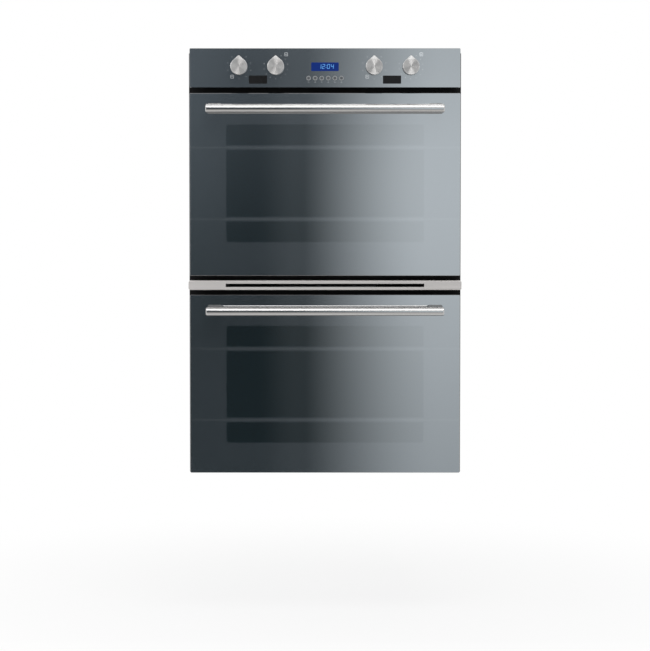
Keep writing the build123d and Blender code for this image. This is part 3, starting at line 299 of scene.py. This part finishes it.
def oven_enamel(name):
    """Dark vitreous enamel with pale specks and a slightly wavy gloss."""
    mat, nt, shader = new_material(name)
    position = place(nt)
    distance, pick = cells(nt, position, 230.0)
    dots = ramp(nt, distance, 0.1, 0.2, 1.0, 0.0)
    specks = calc(nt, "MULTIPLY", dots, calc(nt, "GREATER_THAN", pick, 0.7))
    tint = mix(nt, specks, (0.022, 0.026, 0.034), (0.2, 0.22, 0.24))
    surface(nt, shader, tint, ramp(nt, noise(nt, position, 14.0), 0.3, 0.7, 0.12, 0.24))
    bump(nt, shader, noise(nt, position, 40.0), strength=0.08, distance=0.0008)
    return mat


def clear_glass(name, colour, rough):
    mat, nt, shader = new_material(name)
    position = place(nt)
    tint = mix(nt, noise(nt, position, 5.0), colour, shade(colour, 0.94))
    surface(nt, shader, tint, ramp(nt, noise(nt, position, 7.0), 0.3, 0.7, rough, rough + 0.02))
    shader.inputs["Transmission Weight"].default_value = 0.9
    shader.inputs["IOR"].default_value = PANE_IOR
    return mat


def lit(name, colour, strength, behind_mirror=False):
    """A lit or printed mark with a faint grain, which glows; on a printed mark the glow is painted light.
    Behind the mirrored glass, the glass's gloss lies over it.
    """
    mat, nt, shader = new_material(name)
    grain = noise(nt, place(nt), 1500.0, detail=1.0)
    tint = mix(nt, grain, colour, shade(colour, 0.82))
    nt.links.new(tint, shader.inputs["Base Color"])
    nt.links.new(tint, shader.inputs["Emission Color"])
    shader.inputs["Emission Strength"].default_value = strength
    shader.inputs["Roughness"].default_value = 0.02 if behind_mirror else 0.2
    if behind_mirror:
        shader.inputs["IOR"].default_value = MIRROR_IOR
    else:
        shader.inputs["Specular IOR Level"].default_value = 0.1
    return mat


def paint(names, mat):
    for name in names:
        slots = nodes[name].data.materials
        slots.clear()
        slots.append(mat)


def each_oven(*names):
    return [f"{oven}_{name}" for oven in OVENS for name in names]


for oven in OVENS:
    glass = f"{oven}_door_glass"
    paint([glass], mirror_glass(f"{oven}_mirror", middle(glass).z + WINDOW_RISE[oven]))
paint(["control_glass"], mirror_glass("panel_mirror"))
paint(["trim_bar"], brushed_metal("trim_stainless", (0.67, 0.645, 0.63), along=X, rough=0.6))
paint(
    each_oven("handle_bar"),
    brushed_metal("bar_stainless", (0.52, 0.515, 0.51), along=X, rough=0.17, depth=0.012),
)
paint(each_oven("handle_posts"), brushed_metal("post_steel", (0.3, 0.298, 0.295), along=Z, rough=0.34))
for knob in KNOBS:
    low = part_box(knob)[0]
    paint([knob], spun_steel(f"{knob}_steel", (middle(knob).x, low[1], low[2] + KNOB_RADIUS)))
for key in KEYS:
    paint([f"{key}_button"], ring_key(f"{key}_key", middle(f"{key}_button")))
paint(
    ["front_frame", "control_tray", *each_oven("door_pan")],
    coated("black_enamel", (0.004, 0.004, 0.0045), rough=0.6, gloss=0.2),
)
paint(
    ["side_panels", "top_cover", "base_pan", "back_panel", "mid_deck", "blower_housing"],
    zinc_sheet("zinc_sheet"),
)
paint(each_oven("cavity", "baking_tray", "fan_cover"), oven_enamel("oven_enamel"))
paint(
    each_oven("rack_ladders", "wire_rack"),
    brushed_metal("chromed_wire", (0.76, 0.76, 0.77), along=Y, rough=0.14),
)
paint(each_oven("gasket"), coated("gasket_rubber", (0.03, 0.03, 0.03), rough=0.7, grain=1400.0))
paint(
    ["base_elements", *each_oven("ring_element", "grill_element")],
    coated("element_sheath", (0.1, 0.095, 0.09), rough=0.5, grain=1200.0, metallic=0.6),
)
paint(
    ["blower_wheel", *each_oven("fan_impeller")],
    brushed_metal("fan_sheet", (0.6, 0.6, 0.61), along=X, rough=0.4),
)
paint(
    ["hinge_arms", *each_oven("hinge_channels")],
    brushed_metal("hinge_steel", (0.5, 0.5, 0.5), along=Z, rough=0.4),
)
paint(["fan_motors", "blower_motor"], coated("motor_paint", (0.07, 0.07, 0.075), rough=0.5))
paint(
    ["switch_blocks", "terminal_box"],
    coated("moulded_plastic", (0.05, 0.05, 0.052), rough=0.5, grain=700.0),
)
paint(["display_modules"], coated("display_plastic", (0.015, 0.018, 0.025), rough=0.2))
paint(["oven_lamps"], clear_glass("lamp_glass", (0.9, 0.88, 0.82), rough=0.08))
paint(
    ["insulation"],
    coated("mineral_wool", (0.62, 0.56, 0.34), rough=0.9, grain=300.0, spread=0.35, depth=0.6),
)
paint(each_oven("door_panes"), clear_glass("pane_glass", (0.82, 0.87, 0.85), rough=0.02))


# Thin pieces on the control glass
PANEL_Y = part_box("control_glass")[0][1]
PANEL = middle("control_glass")


def raised(bm, outline, y, lift):
    """A thin piece with an outline of (x, z) points, standing forward from a depth y."""
    back = [bm.verts.new((x, y, z)) for x, z in outline]
    front = [bm.verts.new((x, y - lift, z)) for x, z in outline]
    bm.faces.new(front)
    for i in range(len(outline)):
        bm.faces.new((back[i - 1], back[i], front[i], front[i - 1]))


def plate(bm, x, z, half, corner, y, lift, steps=4):
    """A thin plate with rounded corners."""
    outline = []
    for sign_x, sign_z, start in ((1, 1, 0), (-1, 1, 90), (-1, -1, 180), (1, -1, 270)):
        for i in range(steps + 1):
            angle = math.radians(start + 90 * i / steps)
            outline.append((
                x + sign_x * (half[0] - corner) + corner * math.cos(angle),
                z + sign_z * (half[1] - corner) + corner * math.sin(angle),
            ))
    raised(bm, outline, y, lift)


def stroke(bm, start, end, width, y, lift=PRINT_LIFT):
    """A thin line between two (x, z) points."""
    run = Vector(end) - Vector(start)
    across = Vector((-run.y, run.x)).normalized() * width / 2
    outline = [Vector(start) + across, Vector(start) - across, Vector(end) - across, Vector(end) + across]
    raised(bm, outline, y, lift)


def piece(bm, name, mat, body="chassis"):
    """Finishes a mesh as an object that rides on a body."""
    bmesh.ops.recalc_face_normals(bm, faces=bm.faces)
    mesh = bpy.data.meshes.new(name)
    bm.to_mesh(mesh)
    bm.free()
    mesh.materials.append(mat)
    obj = bpy.data.objects.new(name, mesh)
    scene.collection.objects.link(obj)
    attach(obj, body)


clock_z = PANEL.z + CLOCK_RISE
clock = bmesh.new()
plate(clock, 0.0, clock_z, CLOCK_HALF, LENS_CORNER, PANEL_Y, LENS_LIFT)
piece(clock, "clock_field", lit("clock_blue", (0.005, 0.018, 0.115), strength=0.75))

readouts = bmesh.new()
for side in (-1, 1):
    plate(readouts, side * READOUT_X, PANEL.z - READOUT_DROP, READOUT_HALF, LENS_CORNER, PANEL_Y, LENS_LIFT)
READOUT_DARK = coated("readout_lens", (0.012, 0.012, 0.0125), rough=0.3, grain=1500.0, gloss=0.15)
piece(readouts, "readout_lenses", READOUT_DARK)

# Seven-bar figures: a top, b and c right, d bottom, e and f left, g middle
BARS = {
    "a": ((-1, 1), (1, 1)),
    "b": ((1, 1), (1, 0)),
    "c": ((1, 0), (1, -1)),
    "d": ((-1, -1), (1, -1)),
    "e": ((-1, 0), (-1, -1)),
    "f": ((-1, 1), (-1, 0)),
    "g": ((-1, 0), (1, 0)),
}
FIGURES = {"0": "abcdef", "1": "bc", "2": "abdeg", "4": "bcfg"}
CLOCK_TIME = "1204"
FIGURE_HALF = (0.0032, 0.0058)
FIGURE_SLANT = 0.12
FIGURE_LINE = 0.0012
FIGURE_RISE = 0.0008
FIGURE_X = (-0.0145, -0.0042, 0.0098, 0.0205)
COLON_X = 0.0028
COLON_RISES = (-0.002, 0.0036)
COLON_HALF = (0.0008, 0.0008)
COLON_CORNER = 0.0004
FIGURE_Y = PANEL_Y - LENS_LIFT


def figure(bm, char, x, z):
    for bar in FIGURES[char]:
        ends = []
        for sx, sz in BARS[bar]:
            rise = sz * FIGURE_HALF[1]
            ends.append((x + sx * FIGURE_HALF[0] + FIGURE_SLANT * rise, z + rise))
        stroke(bm, *ends, FIGURE_LINE, FIGURE_Y)


figures = bmesh.new()
for char, x in zip(CLOCK_TIME, FIGURE_X):
    figure(figures, char, x, clock_z + FIGURE_RISE)
for rise in COLON_RISES:
    x = COLON_X + FIGURE_SLANT * rise
    plate(figures, x, clock_z + rise, COLON_HALF, COLON_CORNER, FIGURE_Y, PRINT_LIFT)
piece(figures, "clock_figures", lit("clock_glow", (0.1, 0.3, 0.62), strength=0.8))

# Dial marks round the knobs and small generic signs by the knobs and keys
SIGN_AT = {"mode": (-0.0195, -0.028), "heat": (0.029, 0.0345)}
SIGN_HALF = 0.0042
SIGN_LINE = 0.0019
DIAL_MARKS = {"mode": 10, "heat": 12}
DIAL_SWEEP = {"mode": 324, "heat": 285}
DIAL_TOP = 90
MARK_START = 0.0325
MARK_END = 0.0352
MARK_LINE = 0.001
DASH_HALF = 0.0022
DASH_DROP = 0.0045


def oven_sign(bm, x, z):
    """A square with a shelf across it, which stands for an oven."""
    for rise in (-1, 0, 1):
        level = z + rise * SIGN_HALF
        stroke(bm, (x - SIGN_HALF, level), (x + SIGN_HALF, level), SIGN_LINE, PANEL_Y)
    for side in (-1, 1):
        edge = x + side * SIGN_HALF
        stroke(bm, (edge, z - SIGN_HALF), (edge, z + SIGN_HALF), SIGN_LINE, PANEL_Y)


marks = bmesh.new()
for knob in KNOBS:
    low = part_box(knob)[0]
    hub = Vector((middle(knob).x, low[2] + KNOB_RADIUS))
    dial = "mode" if "mode" in knob else "heat"
    # The knob's pointer stands where the first mark would be
    for i in range(1, DIAL_MARKS[dial]):
        angle = math.radians(DIAL_TOP - i * DIAL_SWEEP[dial] / (DIAL_MARKS[dial] - 1))
        way = Vector((math.cos(angle), math.sin(angle)))
        stroke(marks, hub + way * MARK_START, hub + way * MARK_END, MARK_LINE, PANEL_Y)
    sign_x, sign_z = SIGN_AT[dial]
    oven_sign(marks, hub.x + sign_x, hub.y + sign_z)
for key in KEYS:
    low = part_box(f"{key}_button")[0]
    key_x, dash_z = middle(f"{key}_button").x, low[2] - DASH_DROP
    stroke(marks, (key_x - DASH_HALF, dash_z), (key_x + DASH_HALF, dash_z), MARK_LINE, PANEL_Y)
# The printed marks glow faintly though they are no lamp: painted light
GLOWING_PRINT = lit("print_white_glow", (0.5, 0.515, 0.53), strength=0.16, behind_mirror=True)
piece(marks, "panel_print", GLOWING_PRINT)

# Casing: pressed hoods over the louvres, and screws along the seams and on the fan covers
CASE_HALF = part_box("side_panels")[1][0]
CASE_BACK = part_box("back_panel")[1][1]
CASE_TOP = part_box("top_cover")[1][2]
LOUVRE_LENGTH = 0.09
LOUVRE_PITCH = 0.016
LOUVRE_ROWS = 4
SIDE_LOUVRES = (0.533, 1.094)
SIDE_LOUVRE_Y = 0.16
BACK_LOUVRE_X = 0.179
BACK_LOUVRE_Z = 0.603
HOOD_REACH = 0.005
HOOD_OVERLAP = 0.003
HOOD_TOP = 0.0065
HOOD_FALL = 0.0095
HOOD_FOOT = 0.003
SCREW_RADIUS = 0.0042
SCREW_RISE = 0.0022
# Rings of a screw's head, as shares of its radius and rise
SCREW_PROFILE = ((1.0, 0.0), (1.0, 0.35), (0.86, 0.75), (0.6, 1.0))
CROSS_HALF_LENGTH = 0.48 * SCREW_RADIUS
CROSS_HALF_WIDTH = 0.11 * SCREW_RADIUS
CROSS_LIFT = 0.00005
SEAM_X = CASE_HALF - 0.013
SIDE_SCREWS_Y = (-0.255, 0.262)
SIDE_SCREWS_Z = (0.06, 0.34, 0.62, 0.9, 1.14)
BACK_SCREWS_Z = (0.05, 0.33, 0.61, 0.89, 1.15)
TOP_SCREWS_Y = (-0.22, 0.0, 0.22)
ROW_SCREWS_X = (-0.17, 0.0, 0.17)
ROW_SCREWS_Z = (0.03, 1.165)
BOX_EDGE = 0.009
BOX_RECESS = 0.0002
COVER_EDGE = 0.006
COVER_SHEET = 0.0012
COVER_RISES = (-0.07, 0.07)
PAN_EDGE = 0.016
PAN_FOOT = 0.14
PAN_HEAD = 0.03


def hood(bm, centre, along, out, steps=6):
    """A half-round hood over a slot, open below. along and out are its lengthwise and outward directions."""
    up = Vector((0, 0, 1))
    rows = []
    for end in (-1, 1):
        start = centre + along * end * (LOUVRE_LENGTH / 2 + HOOD_OVERLAP)
        row = []
        for i in range(steps + 1):
            angle = math.pi / 2 * i / steps
            rise = HOOD_TOP - HOOD_FALL * (1 - math.cos(angle))
            row.append(bm.verts.new(start + up * rise + out * HOOD_REACH * math.sin(angle)))
        row.append(bm.verts.new(start - up * HOOD_FOOT))
        rows.append(row)
        bm.faces.new(row)
    for i in range(steps):
        bm.faces.new((rows[0][i], rows[0][i + 1], rows[1][i + 1], rows[1][i]))


def screw(bm, shade_cross, centre, out, sides=14):
    """A pan head with a cross recess drawn as a flat dark cross of painted shade, which goes to its own mesh.
    """
    out = Vector(out)
    across = out.orthogonal().normalized()
    other = out.cross(across)
    rings = []
    for radius, rise in SCREW_PROFILE:
        ring = []
        for i in range(sides):
            angle = 2 * math.pi * i / sides
            way = across * math.cos(angle) + other * math.sin(angle)
            ring.append(bm.verts.new(centre + way * radius * SCREW_RADIUS + out * rise * SCREW_RISE))
        rings.append(ring)
    for lower, upper in zip(rings, rings[1:]):
        for i in range(sides):
            bm.faces.new((lower[i - 1], lower[i], upper[i], upper[i - 1]))
    bm.faces.new(rings[-1])
    # The cross recess is a flat dark sheet just above the head: painted shade
    face = out * (SCREW_RISE + CROSS_LIFT)
    for long, short in ((across, other), (other, across)):
        corners = [
            centre + long * a * CROSS_HALF_LENGTH + short * b * CROSS_HALF_WIDTH + face
            for a, b in ((-1, -1), (1, -1), (1, 1), (-1, 1))
        ]
        shade_cross.faces.new([shade_cross.verts.new(corner) for corner in corners])


hoods = bmesh.new()
for row in range(LOUVRE_ROWS):
    rise = (row - (LOUVRE_ROWS - 1) / 2) * LOUVRE_PITCH
    for side in (-1, 1):
        for z in SIDE_LOUVRES:
            at = Vector((side * CASE_HALF, SIDE_LOUVRE_Y, z + rise))
            hood(hoods, at, Vector((0, 1, 0)), Vector((side, 0, 0)))
        at = Vector((side * BACK_LOUVRE_X, CASE_BACK, BACK_LOUVRE_Z + rise))
        hood(hoods, at, Vector((1, 0, 0)), Vector((0, 1, 0)))
piece(hoods, "louvre_hoods", zinc_sheet("hood_zinc"))

heads = bmesh.new()
slots = bmesh.new()
for side in (-1, 1):
    for y in SIDE_SCREWS_Y:
        for z in SIDE_SCREWS_Z:
            screw(heads, slots, Vector((side * CASE_HALF, y, z)), (side, 0, 0))
    for z in BACK_SCREWS_Z:
        screw(heads, slots, Vector((side * SEAM_X, CASE_BACK, z)), (0, 1, 0))
    for y in TOP_SCREWS_Y:
        screw(heads, slots, Vector((side * SEAM_X, y, CASE_TOP)), (0, 0, 1))
for x in ROW_SCREWS_X:
    for z in ROW_SCREWS_Z:
        screw(heads, slots, Vector((x, CASE_BACK, z)), (0, 1, 0))
box_low, box_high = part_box("terminal_box")
box_cover = box_high[1] - SCREW_RISE - BOX_RECESS
for x in (box_low[0] + BOX_EDGE, box_high[0] - BOX_EDGE):
    screw(heads, slots, Vector((x, box_cover, box_high[2] - BOX_EDGE)), (0, 1, 0))
for oven in OVENS:
    cover_low, cover_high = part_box(f"{oven}_fan_cover")
    for x in (cover_low[0] + COVER_EDGE, cover_high[0] - COVER_EDGE):
        for rise in COVER_RISES:
            at = Vector((x, cover_high[1] - COVER_SHEET, (cover_low[2] + cover_high[2]) / 2 + rise))
            screw(heads, slots, at, (0, -1, 0))
SCREW_ZINC = brushed_metal("screw_zinc", (0.62, 0.62, 0.6), along=Z, rough=0.3)
# The cross recesses are flat dark crosses on the heads: painted shade
RECESS_SHADE = coated("recess_painted_shade", (0.02, 0.02, 0.021), rough=0.6, grain=2000.0)
piece(heads, "casing_screws", SCREW_ZINC)
piece(slots, "screw_recess_shade", RECESS_SHADE)

# Screws that hold each door's inner pan
for oven in OVENS:
    pan_low, pan_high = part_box(f"{oven}_door_pan")
    heads = bmesh.new()
    slots = bmesh.new()
    for x in (pan_low[0] + PAN_EDGE, pan_high[0] - PAN_EDGE):
        for z in (pan_low[2] + PAN_FOOT, (pan_low[2] + pan_high[2]) / 2, pan_high[2] - PAN_HEAD):
            screw(heads, slots, Vector((x, pan_high[1], z)), (0, 1, 0))
    # Their cross recesses are flat dark crosses: painted shade
    piece(heads, f"{oven}_door_screws", SCREW_ZINC, f"{oven}_door")
    piece(slots, f"{oven}_door_recess_shade", RECESS_SHADE, f"{oven}_door")

# Studio


def background_rays(nt):
    """1 for the rays that show the background: straight from the camera, off gloss or through glass."""
    path = nt.nodes.new("ShaderNodeLightPath")
    seen = calc(nt, "MAXIMUM", path.outputs["Is Camera Ray"], path.outputs["Is Glossy Ray"])
    return calc(nt, "MAXIMUM", seen, path.outputs["Is Transmission Ray"])


def stage_sheet(name, mat, corners):
    """A flat sheet of the studio, which isn't part of the oven."""
    bm = bmesh.new()
    bm.faces.new([bm.verts.new(corner) for corner in corners])
    mesh = bpy.data.meshes.new(name)
    bm.to_mesh(mesh)
    bm.free()
    mesh.materials.append(mat)
    obj = bpy.data.objects.new(name, mesh)
    scene.collection.objects.link(obj)
    return obj


# Pale floor, as far below the oven as a cabinet holds it, which fades into the white background
FLOOR_Z = -0.42
FLOOR_HALF = 14.0
FLOOR_TINTS = (0.9, 0.9, 0.9), (0.93, 0.93, 0.93)
FLOOR_FADE = (0.5, 1.8, 0.8, 1.0)


def pale_floor(name):
    mat, nt, shader = new_material(name)
    position = place(nt)
    nt.links.new(mix(nt, noise(nt, position, 2.0), *FLOOR_TINTS), shader.inputs["Base Color"])
    shader.inputs["Roughness"].default_value = 0.9
    white = nt.nodes.new("ShaderNodeEmission")
    white.inputs["Color"].default_value = (1, 1, 1, 1)
    blend = nt.nodes.new("ShaderNodeMixShader")
    reach = ramp(nt, vector(nt, "LENGTH", position), *FLOOR_FADE)
    nt.links.new(calc(nt, "MULTIPLY", reach, background_rays(nt)), blend.inputs[0])
    nt.links.new(shader.outputs[0], blend.inputs[1])
    nt.links.new(white.outputs[0], blend.inputs[2])
    nt.links.new(blend.outputs[0], nt.nodes["Material Output"].inputs["Surface"])
    return mat


stage_sheet(
    "floor",
    pale_floor("pale_floor"),
    [(a * FLOOR_HALF, b * FLOOR_HALF, FLOOR_Z) for a, b in ((-1, -1), (1, -1), (1, 1), (-1, 1))],
)

# Grey studio screen ahead of the oven with a soft lit strip right of its middle, which the mirrored
# glass shows, and a grey mat on the floor before it. Both fade to white at their edges, and the
# camera looks past them.
SCREEN_AHEAD = 3.0
SCREEN_HALF = 2.0
SCREEN_TOP = 2.0
SCREEN_FADE = 0.6
MAT_EDGE = -0.6
MAT_BLEND = -1.5
MAT_LIFT = 0.002
MAT_GREY = (0.7, 0.68, 0.66)
# The strip brightens from its start to the right, within the least width half-way up, and a haze
# leads up to it. A row of four numbers is a range and the values at its two ends.
STRIP_START = -0.173
STRIP_WIDTH = 0.607
STRIP_BELOW = (0.0, 0.8, 0.91, 1.0)
STRIP_ABOVE = (0.8, 1.4, 1.0, 0.88)
STRIP_HAZE = (-0.29, -0.12, 0.0, 0.05)
STRIP_END = (0.66, 0.95, 1.0, 0.0)
GREYS = (0.02, 0.03, 0.034), (0.09, 0.11, 0.127)
GREY_RISE = (0.2, 1.6)
GLOW_ACROSS = (-0.62, -0.3, 1.0, 0.0)
GLOW_RISE = (0.1, 0.8)
GLOW_GAIN = (1.4, 1.4, 1.4)
PALES = (0.56, 0.62, 0.66), (0.92, 1.01, 1.07)
PALE_RISE = (-0.74, 0.88)
TOP_PALE = (0.81, 0.89, 0.94)
TOP_RISE = (0.95, 1.45)
SCREEN_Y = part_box("upper_door_glass")[0][1] - SCREEN_AHEAD


def studio_card(name, corners, on_floor):
    """The screen or the mat, which lights nothing and shows only in gloss."""
    mat, nt, shader = new_material(name)
    x, y, z = split(nt, place(nt))
    narrow = calc(nt, "MINIMUM", ramp(nt, z, *STRIP_BELOW), ramp(nt, z, *STRIP_ABOVE))
    along = calc(nt, "MULTIPLY", calc(nt, "SUBTRACT", x, STRIP_START), narrow)
    strip = calc(nt, "MAXIMUM", ramp(nt, along, 0.0, STRIP_WIDTH), ramp(nt, x, *STRIP_HAZE))
    strip = calc(nt, "MULTIPLY", strip, ramp(nt, x, *STRIP_END))
    grey = mix(nt, ramp(nt, z, *GREY_RISE), *GREYS)
    glow = calc(nt, "MULTIPLY", ramp(nt, x, *GLOW_ACROSS), ramp(nt, z, *GLOW_RISE))
    grey = mix(nt, glow, grey, vector(nt, "MULTIPLY", grey, GLOW_GAIN))
    pale = mix(nt, ramp(nt, z, *PALE_RISE), *PALES)
    pale = mix(nt, ramp(nt, z, *TOP_RISE), pale, TOP_PALE)
    colour = mix(nt, strip, grey, pale)
    away = ramp(nt, calc(nt, "ABSOLUTE", x), SCREEN_HALF - SCREEN_FADE, SCREEN_HALF)
    if on_floor:
        colour = mix(nt, ramp(nt, y, SCREEN_Y, MAT_BLEND), colour, MAT_GREY)
        away = calc(nt, "MAXIMUM", away, ramp(nt, y, MAT_EDGE - SCREEN_FADE, MAT_EDGE))
    else:
        away = calc(nt, "MAXIMUM", away, ramp(nt, z, SCREEN_TOP - SCREEN_FADE, SCREEN_TOP))
    nt.links.new(mix(nt, away, colour, (1, 1, 1)), shader.inputs["Emission Color"])
    shader.inputs["Emission Strength"].default_value = 1.0
    shader.inputs["Base Color"].default_value = (0, 0, 0, 1)
    shader.inputs["Specular IOR Level"].default_value = 0.0
    card = stage_sheet(name, mat, corners)
    card.visible_camera = False
    card.visible_transmission = False
    card.visible_diffuse = False
    card.visible_shadow = False


SIDES = (-SCREEN_HALF, SCREEN_HALF)
MAT_Z = FLOOR_Z + MAT_LIFT
studio_card(
    "screen",
    [(x, SCREEN_Y, FLOOR_Z) for x in SIDES] + [(x, SCREEN_Y, SCREEN_TOP) for x in reversed(SIDES)],
    on_floor=False,
)
studio_card(
    "mat",
    [(x, SCREEN_Y, MAT_Z) for x in SIDES] + [(x, MAT_EDGE, MAT_Z) for x in reversed(SIDES)],
    on_floor=True,
)

# White background, and an even light from all round
AMBIENT = 0.62
world = bpy.data.worlds.new("studio")
scene.world = world
world.use_nodes = True
nt = world.node_tree
nt.nodes.clear()
ambient = nt.nodes.new("ShaderNodeBackground")
ambient.inputs["Color"].default_value = (1, 1, 1, 1)
ambient.inputs["Strength"].default_value = AMBIENT
backdrop = nt.nodes.new("ShaderNodeBackground")
backdrop.inputs["Color"].default_value = (1, 1, 1, 1)
whole = nt.nodes.new("ShaderNodeMixShader")
nt.links.new(background_rays(nt), whole.inputs[0])
nt.links.new(ambient.outputs[0], whole.inputs[1])
nt.links.new(backdrop.outputs[0], whole.inputs[2])
nt.links.new(whole.outputs[0], nt.nodes.new("ShaderNodeOutputWorld").inputs[0])


def softbox(name, at, to, size, power):
    lamp = bpy.data.lights.new(name, "AREA")
    lamp.shape = "RECTANGLE"
    lamp.size, lamp.size_y = size
    lamp.energy = power
    obj = bpy.data.objects.new(name, lamp)
    obj.location = at
    obj.rotation_euler = (Vector(to) - Vector(at)).to_track_quat("-Z", "Y").to_euler()
    scene.collection.objects.link(obj)


softbox("key", at=(0.4, -2.4, 3.4), to=(0, -0.3, 0.6), size=(2.0, 1.3), power=40)
softbox("fill", at=(-2.6, -1.6, 1.6), to=(0, -0.2, 0.6), size=(1.4, 1.8), power=18)

# Camera: straight before the front and nearly level, far enough back to keep the uprights nearly parallel
DISTANCE = 6.0
FOCAL_PX = 2134.1
FRAME_PX = 650.0
SHIFT_PX = -40.0
TILT = 2.5
CAMERA_Z = 0.7944
SENSOR_WIDTH = 36.0
camera_data = bpy.data.cameras.new("camera")
camera_data.sensor_fit = "HORIZONTAL"
camera_data.sensor_width = SENSOR_WIDTH
camera_data.lens = SENSOR_WIDTH * FOCAL_PX / FRAME_PX
camera_data.shift_y = SHIFT_PX / FRAME_PX
camera = bpy.data.objects.new("camera", camera_data)
camera.location = (0.0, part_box("upper_door_glass")[0][1] - DISTANCE, CAMERA_Z)
camera.rotation_euler = (math.radians(90.0 - TILT), 0, 0)
scene.collection.objects.link(camera)
scene.camera = camera
